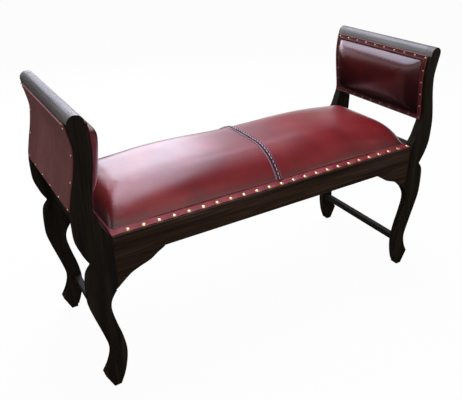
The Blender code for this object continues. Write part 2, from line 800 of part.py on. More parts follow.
def main():
    clear_scene()
    wood = material("dark_wood", (0.030, 0.018, 0.013), 0.38)
    inside_wood = material("plain_wood", (0.300, 0.180, 0.090), 0.7)
    ply = material("plywood", (0.480, 0.340, 0.200), 0.75)
    seat_leather = material("seat_leather", (0.200, 0.022, 0.032), 0.33)
    seam_leather = material("seam_leather", (0.110, 0.020, 0.030), 0.4)
    arm_leather = material("arm_leather", (0.140, 0.012, 0.020), 0.3)
    panel_leather = material("panel_leather", (0.130, 0.030, 0.030), 0.55)
    foam = material("foam", (0.800, 0.760, 0.600), 0.9)

    legs = make_legs(wood)
    posts = make_posts(wood)
    aprons = make_aprons(wood, posts)
    brackets = make_brackets(wood)
    make_joints(inside_wood, legs, posts, aprons, brackets)
    make_cross_rails(wood, legs, posts)
    make_arm_frame(wood, ply, posts)
    make_seat_platform(inside_wood, ply)
    make_seat(seat_leather, seam_leather, foam)
    for end, side in SIDES.items():
        make_arm_pad(end, side, arm_leather, seam_leather, foam)
        make_outer_panel(end, side, panel_leather)


main()
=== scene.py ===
# %% [markdown]
# # A scroll-arm bench in dark wood and oxblood leather
#
# The bench has a sawn frame, a crowned leather seat in two halves with a laced seam, and
# two padded arms edged with brass nails. Its measured CAD model is loaded first and is
# never changed. Each visible piece is then made again, finer, in the place that the CAD
# model gives it.

# %% Load the measured frame
import math

import bmesh
import bpy
from mathutils import Matrix, Vector
from mathutils.bvhtree import BVHTree


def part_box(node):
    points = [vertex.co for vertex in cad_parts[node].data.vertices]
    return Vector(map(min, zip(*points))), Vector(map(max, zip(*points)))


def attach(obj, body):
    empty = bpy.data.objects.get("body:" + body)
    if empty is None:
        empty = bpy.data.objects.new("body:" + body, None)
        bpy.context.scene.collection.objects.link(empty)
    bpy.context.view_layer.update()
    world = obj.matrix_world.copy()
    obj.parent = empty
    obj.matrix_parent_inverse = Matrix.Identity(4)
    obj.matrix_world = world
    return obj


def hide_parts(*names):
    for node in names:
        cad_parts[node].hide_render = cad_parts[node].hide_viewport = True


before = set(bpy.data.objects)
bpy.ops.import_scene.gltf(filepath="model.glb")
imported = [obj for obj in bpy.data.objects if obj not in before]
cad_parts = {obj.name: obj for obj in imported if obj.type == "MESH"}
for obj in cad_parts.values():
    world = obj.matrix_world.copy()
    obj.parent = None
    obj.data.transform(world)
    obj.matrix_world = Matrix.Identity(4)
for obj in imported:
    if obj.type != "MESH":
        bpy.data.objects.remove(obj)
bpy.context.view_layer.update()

# %% [markdown]
# All sizes that the new pieces share are read from the CAD pieces, so that nothing here
# repeats a measurement. The arm posts say where the seat rail starts and where the joint
# between leg and post lies, and the aprons say how high the seat rail is.

# %% Read the shared sizes
POST_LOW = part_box("arm_post_front_right")[0]
APRON_LOW, APRON_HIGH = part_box("apron_front")
FOAM_LOW, FOAM_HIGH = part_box("seat_foam")
LIP_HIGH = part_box("seat_leather_right")[1]

TOE = POST_LOW.x
JOINT = POST_LOW.z
ARM_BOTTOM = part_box("arm_low_rail_right")[0].z
HALF_DEPTH = -POST_LOW.y
PLANK = APRON_HIGH.y - APRON_LOW.y
ENDS = {"left": -1, "right": 1}
FACES = {"front": -1, "back": 1}
print("toe", round(TOE, 4), "joint", round(JOINT, 4), "rail top", round(APRON_HIGH.z, 4))

# %% [markdown]
# Some small helpers keep the modelling steps short. An operator acts on all that is
# selected, and loading leaves the CAD nodes selected, so everything is deselected before
# each new piece. The CAD pieces are loose triangles, so a copy is welded before it is
# shaped, and its flat faces are made whole again, or its triangles are paired to quads.

# %% Helpers for selecting, copying and finishing
WELD = 0.00001
FLAT_BEND = 0.4  # degrees; faces that bend less are one flat face
PAIR_BEND, PAIR_SKEW = 40.0, 60.0  # degrees; triangles within these make one quad


def only(piece):
    """Makes one piece the selected and active one."""
    bpy.ops.object.select_all(action="DESELECT")
    piece.select_set(True)
    bpy.context.view_layer.objects.active = piece


def edit(piece):
    only(piece)
    bpy.ops.object.mode_set(mode="EDIT")
    bpy.ops.mesh.select_mode(type="VERT")
    bpy.ops.mesh.select_all(action="SELECT")


def leave_edit():
    bpy.ops.mesh.select_all(action="DESELECT")
    bpy.ops.object.mode_set(mode="OBJECT")


def new_object(name, data):
    """Puts an object into the scene that shows this mesh, curve, light or camera."""
    piece = bpy.data.objects.new(name, data)
    data.name = name
    bpy.context.scene.collection.objects.link(piece)
    return piece


def named(name):
    """Names the piece that an operator has just made."""
    piece = bpy.context.object
    piece.name = piece.data.name = name
    return piece


def welded_copy(node, name, quads=False):
    """A copy of a CAD piece as one whole mesh."""
    piece = new_object(name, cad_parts[node].data.copy())
    only(piece)
    bpy.ops.mesh.customdata_custom_splitnormals_clear()
    edit(piece)
    bpy.ops.mesh.remove_doubles(threshold=WELD)
    if quads:
        bpy.ops.mesh.tris_convert_to_quads(face_threshold=math.radians(PAIR_BEND),
                                           shape_threshold=math.radians(PAIR_SKEW))
    else:
        bpy.ops.mesh.dissolve_limited(angle_limit=math.radians(FLAT_BEND))
    leave_edit()
    return piece


def choose_edges(piece, wanted):
    """Selects the edges for which wanted(start, end) is true, in edit mode."""
    bpy.ops.mesh.select_mode(type="EDGE")
    bpy.ops.mesh.select_all(action="DESELECT")
    mesh = bmesh.from_edit_mesh(piece.data)
    count = 0
    for edge in mesh.edges:
        edge.select = wanted(edge.verts[0].co, edge.verts[1].co)
        count += edge.select
    bmesh.update_edit_mesh(piece.data)
    return count


def choose_sharp(piece, angle):
    """Opens a piece in edit mode and selects its edges sharper than an angle."""
    edit(piece)
    bpy.ops.mesh.select_all(action="DESELECT")
    bpy.ops.mesh.select_mode(type="EDGE")
    bpy.ops.mesh.edges_select_sharp(sharpness=math.radians(angle))


def round_off(width, segments):
    bpy.ops.mesh.bevel(offset=width, offset_type="OFFSET", segments=segments, profile=0.5,
                       affect="EDGES", clamp_overlap=True)


def apply_modifiers(piece):
    only(piece)
    for modifier in list(piece.modifiers):
        bpy.ops.object.modifier_apply(modifier=modifier.name)


def subdivide(piece, levels):
    finer = piece.modifiers.new("Finer", "SUBSURF")
    finer.levels = finer.render_levels = levels
    apply_modifiers(piece)


def shade(piece, angle=40.0, weighted=True):
    """Smooth shading that keeps flat faces flat."""
    only(piece)
    bpy.ops.object.shade_smooth_by_angle(angle=math.radians(angle))
    if weighted:
        modifier = piece.modifiers.new("Weighted normals", "WEIGHTED_NORMAL")
        modifier.keep_sharp = True
        modifier.weight = 100
        apply_modifiers(piece)


def hand_over(piece, material, stands_for=()):
    """Gives a finished piece its material and ties it to the bench's body."""
    piece.data.materials.clear()
    piece.data.materials.append(material)
    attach(piece, "root")
    if stands_for:
        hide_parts(*stands_for)


print("helpers ready")

# %% [markdown]
# The camera stands to the left of the bench and looks down at it. Its place, heading and
# tilt come from solving the photograph's view on the corners of the frame. The lens is
# given as its focal length for a sensor 36 mm wide.

# %% Place the camera
CAMERA_PLACE = (-0.74657, -1.14626, 1.03728)
HEADING = 31.48
TILT = 28.56
ROLL = 0.37
FOCAL_LENGTH = 41.98

camera_data = bpy.data.cameras.new("camera")
camera_data.sensor_width = 36.0
camera_data.lens = FOCAL_LENGTH
camera = new_object("camera", camera_data)
camera.matrix_world = (Matrix.Translation(CAMERA_PLACE)
                       @ Matrix.Rotation(math.radians(-HEADING), 4, "Z")
                       @ Matrix.Rotation(math.radians(90 - TILT), 4, "X")
                       @ Matrix.Rotation(math.radians(-ROLL), 4, "Z"))
bpy.context.scene.camera = camera
print("camera at", CAMERA_PLACE)

# %% [markdown]
# Leather and stained wood show little colour of their own and a lot of what they mirror,
# so the studio is built for its reflections. A pale floor and a soft world give the even
# part. A window panel behind the bench and a sky panel above it draw the broad pale sheen
# on the left half of the seat. A weak panel over the camera fills the front. The camera
# itself sees floor and world as plain white, which a mix by the kind of ray gives.

# %% Helpers for building materials


def new_material(name, roughness, specular=0.5, metallic=0.0, coat=0.0, coat_roughness=0.1,
                 colour=None):
    """A material, its node tree and its shader."""
    material = bpy.data.materials.new(name)
    material.use_nodes = True
    shader = material.node_tree.nodes["Principled BSDF"]
    for field, value in (("Roughness", roughness), ("Specular IOR Level", specular),
                         ("Metallic", metallic), ("Coat Weight", coat),
                         ("Coat Roughness", coat_roughness)):
        shader.inputs[field].default_value = value
    if colour:
        shader.inputs["Base Color"].default_value = (*colour, 1.0)
    return material, material.node_tree, shader


def place_node(tree, kind, **inputs):
    node = tree.nodes.new(kind)
    for name, value in inputs.items():
        node.inputs[name].default_value = value
    return node


def calculated(tree, operation, first, second=None):
    """What a Math node makes of a socket and, if given, of a second one or a number."""
    node = tree.nodes.new("ShaderNodeMath")
    node.operation = operation
    tree.links.new(first, node.inputs[0])
    if isinstance(second, float):
        node.inputs[1].default_value = second
    elif second:
        tree.links.new(second, node.inputs[1])
    return node.outputs[0]


def white_where_seen(tree, shader, white, share):
    """Mixes plain white into a shader, only for rays that show the background."""
    path = tree.nodes.new("ShaderNodeLightPath")
    seen = path.outputs["Is Camera Ray"]
    for ray in ("Is Glossy Ray", "Is Transmission Ray"):
        seen = calculated(tree, "MAXIMUM", seen, path.outputs[ray])
    mix = tree.nodes.new("ShaderNodeMixShader")
    amount = calculated(tree, "MULTIPLY", seen, share)
    for source, socket in zip((amount, shader, white), mix.inputs):
        tree.links.new(source, socket)
    return mix.outputs[0]


print("material helpers ready")

# %% Build the floor and the world
FLOOR_HALF = 12.0
FLOOR_SHOWN = 0.96  # how much of the floor is plain white to the camera
FLOOR_COLOUR = (0.80, 0.80, 0.80)
WORLD_LEVEL = 0.32
WHITE = (1.0, 1.0, 1.0, 1.0)

floor_finish, floor_tree, floor_shader = new_material("pale_floor", 1.0, specular=0.0,
                                                      colour=FLOOR_COLOUR)
glow = place_node(floor_tree, "ShaderNodeEmission", Color=WHITE)
floor_tree.links.new(
    white_where_seen(floor_tree, floor_shader.outputs[0], glow.outputs[0], FLOOR_SHOWN),
    floor_tree.nodes["Material Output"].inputs["Surface"])

bpy.ops.object.select_all(action="DESELECT")
bpy.ops.mesh.primitive_plane_add(size=2 * FLOOR_HALF, location=(0, 0, 0))
floor = named("studio_floor")
floor.data.materials.append(floor_finish)

world = bpy.data.worlds.new("studio")
world.use_nodes = True
sky_tree = world.node_tree
dim_light = sky_tree.nodes["Background"]
dim_light.inputs["Color"].default_value = WHITE
dim_light.inputs["Strength"].default_value = WORLD_LEVEL
white_light = place_node(sky_tree, "ShaderNodeBackground", Color=WHITE, Strength=1.0)
sky_tree.links.new(
    white_where_seen(sky_tree, dim_light.outputs[0], white_light.outputs[0], 1.0),
    sky_tree.nodes["World Output"].inputs["Surface"])
bpy.context.scene.world = world
bpy.context.scene.view_settings.view_transform = "Standard"
print("floor and world ready")

# %% Hang the light panels
# Each panel: place, turn about X and Z in degrees, width, height, power in watts, colour
PANELS = {
    "window_behind": ((0.35, 2.25, 1.45), (66.0, 171.0), 1.9, 1.25, 29.0, (0.80, 0.83, 1.0)),
    "sky_panel": ((0.22, 0.77, 2.15), (0.0, -27.0), 1.35, 2.3, 47.0, (0.80, 0.82, 1.0)),
    "panel_over_camera": ((-1.2, -2.2, 2.8), (46.0, -28.6), 2.0, 1.6, 18.0, (1.0, 0.98, 0.95)),
}


def light_panel(name, place, turn, width, height, power, colour):
    data = bpy.data.lights.new(name, "AREA")
    data.shape = "RECTANGLE"
    data.size, data.size_y = width, height
    data.energy = power
    data.color = colour
    lamp = new_object(name, data)
    lamp.location = place
    lamp.rotation_euler = (math.radians(turn[0]), 0.0, math.radians(turn[1]))


for panel, values in PANELS.items():
    light_panel(panel, *values)
print("light panels:", len(PANELS))

# %% [markdown]
# A photographer who wants deep colour in a glossy thing stands black cards where it would
# mirror the white room. Here they stand behind the bench to its right, for the right half
# of the seat, and to its left, for the arms, where the card in the middle is low enough to
# leave the left crest rail its highlight. Two stand in front to the right, and the slit
# between them draws the soft band along the seat's foot. One hangs over the light panels
# and one lies on the floor. They only show in reflections, so they neither shade the bench
# nor hide it.

# %% Stand the black cards
# Each card: place, turn about X, Y and Z in degrees, width, height
CARDS = {
    "card_behind_right": ((1.75, 1.35, 1.68), (90.0, 0.0, -52.0), 2.4, 1.54),
    "card_behind_left": ((-1.425, 1.00, 0.70), (90.0, 0.0, 0.0), 1.75, 1.40),
    "card_behind_middle": ((-0.385, 1.00, 0.44), (90.0, 0.0, 0.0), 0.33, 0.88),
    "card_low_behind": ((0.15, 1.00, 0.25), (90.0, 0.0, 0.0), 1.2, 0.5),
    "card_overhead": ((0.60, 0.20, 2.20), (0.0, 0.0, 0.0), 3.8, 3.8),
    "card_in_front_high": ((4.00, -3.00, 3.40), (90.0, 0.0, 0.0), 4.8, 2.40),
    "card_in_front_low": ((4.00, -3.00, 0.50), (90.0, 0.0, 0.0), 4.8, 1.00),
    "card_on_floor": ((0.0, -0.2, 0.002), (0.0, 0.0, 0.0), 7.0, 6.4),
}
FELT = (0.006, 0.005, 0.005)
CARD_FINISH = new_material("black_felt", 1.0, specular=0.0, colour=FELT)[0]


def black_card(name, place, turn, width, height):
    bpy.ops.object.select_all(action="DESELECT")
    bpy.ops.mesh.primitive_plane_add(size=1.0, location=place,
                                     rotation=[math.radians(angle) for angle in turn])
    card = named(name)
    card.scale = (width, height, 1.0)
    card.data.materials.append(CARD_FINISH)
    card.visible_camera = card.visible_diffuse = False
    card.visible_transmission = card.visible_shadow = False


for card, values in CARDS.items():
    black_card(card, *values)
print("black cards:", len(CARDS))

# %% [markdown]
# Stained wood is nearly black, so its grain shows as faint brown streaks and in the way
# the gloss breaks up. Noise that is stretched along the grain gives the streaks, and a
# much finer one gives the pores. The grain has to follow each piece, so a finish is made
# for each direction it runs in. The legs are darkest, the aprons show more of the brown
# wood, and the crest rails are polished and painted paler, a painted sheen. Two edges next
# to them get painted light too: a painted highlight along the top edge of an apron, which
# the finish finds by its height, and a painted sheen on the round top of a post, whose
# faces are marked with a colour attribute.

# %% Node helpers for the finishes


def stretched(tree, scale):
    """Object coordinates, squeezed or stretched along each axis."""
    coordinates = tree.nodes.new("ShaderNodeTexCoord")
    mapping = tree.nodes.new("ShaderNodeMapping")
    mapping.inputs["Scale"].default_value = scale
    tree.links.new(coordinates.outputs["Object"], mapping.inputs["Vector"])
    return mapping.outputs["Vector"]


def noise(tree, scale, size, detail=4.0, roughness=0.55, distortion=0.0):
    texture = place_node(tree, "ShaderNodeTexNoise", Scale=size, Detail=detail,
                         Roughness=roughness, Distortion=distortion)
    tree.links.new(stretched(tree, scale), texture.inputs["Vector"])
    return texture.outputs["Fac"]


def ramp(tree, factor, *stops):
    """A colour ramp with stops of (place, (red, green, blue))."""
    node = tree.nodes.new("ShaderNodeValToRGB")
    while len(node.color_ramp.elements) < len(stops):
        node.color_ramp.elements.new(0.5)
    for element, (place, colour) in zip(node.color_ramp.elements, stops):
        element.position = place
        element.color = (*colour, 1.0)
    tree.links.new(factor, node.inputs["Fac"])
    return node.outputs["Color"]


def grey(level):
    return (level, level, level)


def bump(tree, height, strength, distance, below=None):
    node = place_node(tree, "ShaderNodeBump", Strength=strength, Distance=distance)
    tree.links.new(height, node.inputs["Height"])
    if below:
        tree.links.new(below, node.inputs["Normal"])
    return node.outputs["Normal"]


def mixed(tree, factor, first, second, mode="MIX"):
    """Mixes two colours. A number or a colour may stand for any of the three."""
    node = tree.nodes.new("ShaderNodeMix")
    node.data_type = "RGBA"
    node.blend_type = mode
    for socket, value in ((node.inputs[0], factor), (node.inputs[6], first),
                          (node.inputs[7], second)):
        if isinstance(value, bpy.types.NodeSocket):
            tree.links.new(value, socket)
        elif isinstance(value, tuple):
            socket.default_value = (*value, 1.0)
        else:
            socket.default_value = value
    return node.outputs[2]


def connect(tree, shader, colour, relief, roughness=None):
    tree.links.new(colour, shader.inputs["Base Color"])
    tree.links.new(relief, shader.inputs["Normal"])
    if roughness:
        tree.links.new(roughness, shader.inputs["Roughness"])


print("node helpers ready")

# %% Make the wood finishes
EVEN = (1.0, 1.0, 1.0)
X, Y, Z = 0, 1, 2
STREAKS = 14.0
PORES = 260.0
GRAIN_STRETCH = 0.07  # how much slower the wood changes along its grain
LEG_TONES = ((0.0075, 0.0050, 0.0030), (0.0165, 0.0116, 0.0070), (0.0340, 0.0245, 0.0150))
APRON_TONES = ((0.0175, 0.0092, 0.0050), (0.0390, 0.0210, 0.0125), (0.0740, 0.0430, 0.0270))
# Painted sheen: the crest rails' tones are paler than the wood, standing for the broad pale
# highlight on them.
CREST_SHEEN_TONES = ((0.0800, 0.0700, 0.0640), (0.1500, 0.1360, 0.1270), (0.2250, 0.2080, 0.1970))
# Painted highlight: a pale band along the top edge of an apron, as if that edge caught the
# light, with its colour, height and fade.
PAINTED_EDGE_HIGHLIGHT = (0.120, 0.098, 0.086)
HIGHLIGHT_BAND = 0.0016  # height of the rubbed edge along the top of an apron
HIGHLIGHT_FADE = 0.0006
PLYWOOD_STAIN = 0.45  # where the stain begins on the plywood, left and right


def along_grain(axis, slow, fast):
    return tuple(slow if index == axis else fast for index in range(3))


def distance_out(tree, axis):
    """How far from the middle a point lies along one axis, on either side."""
    parts = tree.nodes.new("ShaderNodeSeparateXYZ")
    tree.links.new(stretched(tree, EVEN), parts.inputs[0])
    return calculated(tree, "ABSOLUTE", parts.outputs[axis])


def stained_wood(name, axis, tones, gloss=0.44, specular=0.12, pore_depth=0.35,
                 highlight_from=None, sheen_attribute=None):
    """Dark stained wood; painted highlight above highlight_from, painted sheen where marked."""
    material, tree, shader = new_material(name, gloss, specular=specular)
    streaks = noise(tree, along_grain(axis, GRAIN_STRETCH * STREAKS, STREAKS), 3.0, 5.0,
                    0.6, 0.35)
    fine = noise(tree, along_grain(axis, 6.0, PORES), 1.0, 3.0, 0.7)
    tone = ramp(tree, streaks, (0.30, tones[0]), (0.52, tones[1]), (0.74, tones[2]))
    pores = ramp(tree, fine, (0.38, grey(0.45)), (0.56, grey(1.0)))
    colour = mixed(tree, 0.7, tone, pores, "MULTIPLY")
    # A highlight painted along the top edge, above that height.
    if highlight_from:
        edge = ramp(tree, distance_out(tree, Z), (highlight_from, grey(0.0)),
                    (highlight_from + HIGHLIGHT_FADE, grey(1.0)))
        colour = mixed(tree, edge, colour, PAINTED_EDGE_HIGHLIGHT)
    # A painted sheen on the marked faces, under a coat of gloss.
    if sheen_attribute:
        marks = tree.nodes.new("ShaderNodeAttribute")
        marks.attribute_name = sheen_attribute
        sheen_colour = mixed(tree, 0.6, CREST_SHEEN_TONES[1], pores, "MULTIPLY")
        colour = mixed(tree, marks.outputs["Fac"], colour, sheen_colour)
        tree.links.new(marks.outputs["Fac"], shader.inputs["Coat Weight"])
        shader.inputs["Coat Roughness"].default_value = 0.55
    polish = ramp(tree, noise(tree, along_grain(axis, 2.0, 30.0), 1.5, 4.0),
                  (0.3, grey(gloss - 0.06)), (0.7, grey(gloss + 0.09)))
    uneven = bump(tree, streaks, 0.25, 0.0008)
    connect(tree, shader, colour, bump(tree, fine, pore_depth, 0.0002, uneven), polish)
    return material


def bare_wood(name, axis, pale, dark, stained_from=None):
    """Unstained wood. Past stained_from, left and right, the frame's stain ran over it."""
    material, tree, shader = new_material(name, 0.7, specular=0.3)
    streaks = noise(tree, along_grain(axis, 1.0, 18.0), 3.0, 5.0, 0.6, 0.5)
    fine = noise(tree, along_grain(axis, 8.0, 220.0), 1.0, 3.0)
    tone = ramp(tree, streaks, (0.3, dark), (0.7, pale))
    grain = ramp(tree, fine, (0.35, grey(0.7)), (0.6, grey(1.0)))
    colour = mixed(tree, 0.6, tone, grain, "MULTIPLY")
    if stained_from:
        end = ramp(tree, distance_out(tree, X), (stained_from - 0.01, grey(0.0)),
                   (stained_from, grey(1.0)))
        colour = mixed(tree, end, colour, LEG_TONES[1])
    connect(tree, shader, colour, bump(tree, fine, 0.4, 0.0003))
    return material


LEG_WOOD = stained_wood("stained_leg_wood", Z, LEG_TONES)
# The aprons get the painted highlight along their top edge.
APRON_WOOD = stained_wood("stained_apron_wood", X, APRON_TONES, specular=0.05,
                          highlight_from=APRON_HIGH.z - HIGHLIGHT_BAND)
# The posts carry the painted sheen on their marked round tops.
POST_WOOD = stained_wood("stained_post_wood", Z, LEG_TONES, sheen_attribute="sheen_mark")
RAIL_WOOD = stained_wood("stained_rail_wood", Y, LEG_TONES, gloss=0.52, specular=0.35)
# Polished crest rails whose paler tones are a painted sheen.
CREST_WOOD = stained_wood("crest_wood_painted_sheen", Y, CREST_SHEEN_TONES, gloss=0.48, specular=0.90,
                          pore_depth=0.12)
BEECH = {axis: bare_wood(f"bare_beech_along_{'xyz'[axis]}", axis, (0.42, 0.27, 0.14),
                         (0.26, 0.15, 0.07)) for axis in (X, Y, Z)}
PLYWOOD = bare_wood("plywood", X, (0.55, 0.41, 0.25), (0.40, 0.28, 0.16), PLYWOOD_STAIN)
print("wood finishes: 5 stained, plywood and", len(BEECH), "of beech")

# %% [markdown]
# The leather is dyed dark over a brighter red, then polished, so its colour is cloudy:
# brighter where it was rubbed, darker in between. Painted shade darkens the ends of the
# seat, which the arms shade, and the foot of the seat and of each pad. Its surface has a
# fine pebble, which comes from a cell texture, and a faint larger unevenness. The gloss is
# on top: a medium-rough base under a thin, smoother coat.

# %% Make the leather finishes
PEBBLE = 520.0  # cells in a metre
BLOTCHES = 7  # how much finer the blotches are than the clouds
WORN_PATCHES = 14.0
UNEVENNESS = 38.0
# Painted shade: from here outwards the seat's ends are darkened, where the arms shade them, over
# the length below.
SEAT_SHADED_ENDS = 0.417  # where the seat's ends begin to darken, left and right
ENDS_FADE = 0.03  # and over how long they do
# Painted shade at the foot of the seat and of each pad: the height where it is full, the height
# where it ends, and how dark it is at full; the dye named on the next line is this painted
# shade.
SEAT_FOOT_SHADE = (0.421, 0.446, 0.45)  # full dye, none of it, and how dark it is at full
ARM_FOOT_SHADE = (0.520, 0.635, 0.12)


def polished_leather(name, deep, middle, bright, roughness, pebble=0.22, coat=0.8,
                     coat_roughness=0.30, cloud=5.0, specular=0.50, stretch=EVEN,
                     dark_from=None, dark_foot=None):
    """Cloudy leather. Past dark_from, left and right, painted shade darkens it.

    dark_foot is (height, height, share): from the second height down to the first, painted
    shade darkens it to that share of its colour."""
    material, tree, shader = new_material(name, roughness, specular=specular, coat=coat,
                                          coat_roughness=coat_roughness)
    clouds = noise(tree, stretch, cloud, 5.0, 0.6, 0.4)
    blotches = noise(tree, stretch, cloud * BLOTCHES, 4.0, 0.6)
    base = ramp(tree, clouds, (0.30, deep), (0.50, middle), (0.70, bright))
    spots = ramp(tree, blotches, (0.30, grey(0.80)), (0.65, grey(1.0)))
    cells = place_node(tree, "ShaderNodeTexVoronoi", Scale=PEBBLE)
    cells.feature = "SMOOTH_F1"
    tree.links.new(stretched(tree, EVEN), cells.inputs["Vector"])
    colour = mixed(tree, 0.8, base, spots, "MULTIPLY")
    # Painted shade at the seat's ends.
    if dark_from:
        ends = ramp(tree, distance_out(tree, X), (dark_from, grey(1.0)),
                    (dark_from + ENDS_FADE, grey(0.35)))
        colour = mixed(tree, 1.0, colour, ends, "MULTIPLY")
    # Painted shade at the foot.
    if dark_foot:
        low, high, share = dark_foot
        foot = ramp(tree, distance_out(tree, Z), (low, grey(share)), (high, grey(1.0)))
        colour = mixed(tree, 1.0, colour, foot, "MULTIPLY")
    polish = ramp(tree, noise(tree, EVEN, WORN_PATCHES, 5.0), (0.3, grey(roughness - 0.05)),
                  (0.7, grey(roughness + 0.06)))
    drawn = bump(tree, noise(tree, EVEN, UNEVENNESS, 3.0), 0.10, 0.0012)
    pebbled = bump(tree, cells.outputs["Distance"], pebble, 0.0003, drawn)
    connect(tree, shader, colour, pebbled, polish)
    return material


# Each leather: deep, middle and bright tone, roughness, and what else sets it apart
LEATHERS = {
    "seat": ((0.14, 0.005, 0.009), (0.22, 0.0095, 0.0125), (0.31, 0.022, 0.020), 0.38,
             {"dark_from": SEAT_SHADED_ENDS, "dark_foot": SEAT_FOOT_SHADE}),
    "arm": ((0.036, 0.001, 0.0013), (0.07, 0.0026, 0.0032), (0.125, 0.008, 0.007), 0.34,
            {"coat": 1.0, "coat_roughness": 0.24, "specular": 0.20, "dark_foot": ARM_FOOT_SHADE}),
    "lip": ((0.16, 0.017, 0.021), (0.25, 0.034, 0.040), (0.34, 0.060, 0.066), 0.50,
            {"cloud": 16.0, "coat": 0.0, "specular": 0.20}),
    # Painted highlight: the welt is pale lavender where its fold catches the light.
    "welt": ((0.20, 0.10, 0.14), (0.26, 0.14, 0.19), (0.33, 0.195, 0.255), 0.34, {}),
    "border": ((0.032, 0.003, 0.004), (0.07, 0.008, 0.010), (0.13, 0.022, 0.025), 0.42,
               {"cloud": 18.0, "coat": 0.4}),
    "panel": ((0.17, 0.060, 0.056), (0.205, 0.074, 0.069), (0.25, 0.094, 0.088), 0.60,
              {"coat": 0.0, "specular": 0.15, "cloud": 7.0, "stretch": (1.0, 1.3, 0.8)}),
    # Painted highlight: the turned edge is pale where the top edge catches the light.
    "turned": ((0.28, 0.12, 0.12), (0.37, 0.175, 0.178), (0.46, 0.250, 0.255), 0.50,
               {"cloud": 16.0, "coat": 0.0, "specular": 0.20}),
    "seam": ((0.12, 0.023, 0.032), (0.18, 0.040, 0.052), (0.25, 0.065, 0.080), 0.34,
             {"cloud": 20.0}),
    # Painted highlight: the cord is pale so that the eyes of the lace read bright.
    "cord": ((0.42, 0.25, 0.31), (0.56, 0.36, 0.43), (0.70, 0.50, 0.57), 0.36,
             {"cloud": 30.0}),
    "lace": ((0.012, 0.004, 0.0055), (0.024, 0.008, 0.010), (0.045, 0.016, 0.019), 0.60,
             {"cloud": 30.0, "coat": 0.0, "specular": 0.15}),
}
leather = {kind: polished_leather(f"{kind}_leather", *tones, roughness, **rest)
           for kind, (*tones, roughness, rest) in LEATHERS.items()}
print("leather finishes:", len(leather))

# %% Make the brass finish


def brass_finish(name, dull, bright):
    material, tree, shader = new_material(name, 0.34, metallic=1.0)
    tarnish = noise(tree, EVEN, 160.0, 4.0)
    tone = ramp(tree, tarnish, (0.30, dull), (0.60, bright))
    rough = ramp(tree, tarnish, (0.30, grey(0.46)), (0.65, grey(0.30)))
    connect(tree, shader, tone, bump(tree, tarnish, 0.2, 0.0001), rough)
    return material


BRASS = brass_finish("brass", (0.62, 0.36, 0.14), (1.00, 0.73, 0.42))
# A darker brass, for the nails along the bottom and the back of each border.
DULL_BRASS = brass_finish("darker_brass", (0.16, 0.10, 0.05), (0.46, 0.36, 0.24))
print("brass finishes ready")

# %% [markdown]
# Legs, posts and brackets are planks: an outline is sawn from thick stock and its free
# edges are worn round. The CAD piece already has the outline, so a slice is taken
# through its copy with Bisect. The slice is filled, extruded to the plank's thickness,
# and only the edges that no other piece touches are rounded. The others stay sharp, so
# that a glued joint shows as a fine line. The faces of a post's round top are marked at
# the end, and its finish is paler there, a painted sheen.

# %% Saw the planks of the frame
SLICE_DEPTH = 0.0052  # under the plank's face, clear of its worn edge and of the sockets
WORN_EDGE = 0.0030
NEAR = 0.0006
BRACKET_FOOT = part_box("bracket_front_right")[0].z
# The post's painted sheen starts above this height.
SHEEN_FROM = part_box("arm_border_right")[1].z - 0.002  # the border's top edge


def sawn_plank(node, free):
    """A plank with the CAD piece's outline. free(place) says where its edge is open."""
    low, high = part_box(node)
    piece = welded_copy(node, "wood_" + node)
    edit(piece)
    cut = low.y + SLICE_DEPTH if low.y < 0 else high.y - SLICE_DEPTH
    bpy.ops.mesh.bisect(plane_co=(0, cut, 0), plane_no=(0, 1, 0),
                        clear_inner=True, clear_outer=True)
    bpy.ops.mesh.select_all(action="SELECT")
    bpy.ops.mesh.remove_doubles(threshold=WELD)
    bpy.ops.mesh.select_all(action="SELECT")
    bpy.ops.transform.translate(value=(0, low.y - cut, 0))
    bpy.ops.mesh.edge_face_add()
    bpy.ops.mesh.extrude_region_move(TRANSFORM_OT_translate={"value": (0, high.y - low.y, 0)})
    bpy.ops.mesh.select_all(action="SELECT")
    bpy.ops.mesh.normals_make_consistent(inside=False)

    def in_a_face(start, end):
        return abs(start.y - end.y) < WELD

    if choose_edges(piece, lambda a, b: in_a_face(a, b) and free(a) and free(b)):
        round_off(WORN_EDGE, 3)
    leave_edit()
    shade(piece)
    return piece


def at_joint(place):
    return abs(place.z - JOINT) < NEAR


def against_apron(place):
    return abs(abs(place.x) - TOE) < NEAR


def leg_is_free(place):
    touches_bracket = against_apron(place) and place.z > BRACKET_FOOT - NEAR
    return not (at_joint(place) or touches_bracket or place.z < NEAR)


def post_is_free(place):
    """The post's inner face is flush with the crest rail, the boards and the low rail."""
    on_inner_face = abs(place.y) < HALF_DEPTH - PLANK / 2
    under_the_arm = place.z < ARM_BOTTOM
    return not (at_joint(place) or against_apron(place)) and (under_the_arm or not on_inner_face)


def bracket_is_free(place):
    return not (at_joint(place) or against_apron(place))


def mark_painted_sheen(piece):
    """Marks the rounded top of a post, to which the crest rail's painted sheen is carried."""
    marks = piece.data.color_attributes.new("sheen_mark", "FLOAT_COLOR", "CORNER")
    for face in piece.data.polygons:
        foot = min(piece.data.vertices[index].co.z for index in face.vertices)
        sheen_mark = float(foot > SHEEN_FROM and abs(face.normal.y) < 0.7)
        for corner in face.loop_indices:
            marks.data[corner].color = (sheen_mark, sheen_mark, sheen_mark, 1.0)


planks = []
for face in FACES:
    for end in ENDS:
        for kind, free, finish in (("leg", leg_is_free, LEG_WOOD),
                                   ("arm_post", post_is_free, POST_WOOD),
                                   ("bracket", bracket_is_free, APRON_WOOD)):
            node = f"{kind}_{face}_{end}"
            piece = sawn_plank(node, free)
            if kind == "arm_post":
                mark_painted_sheen(piece)
            hand_over(piece, finish, [node])
            planks.append(piece)
print("planks:", len(planks), "with", sum(len(p.data.polygons) for p in planks), "faces")

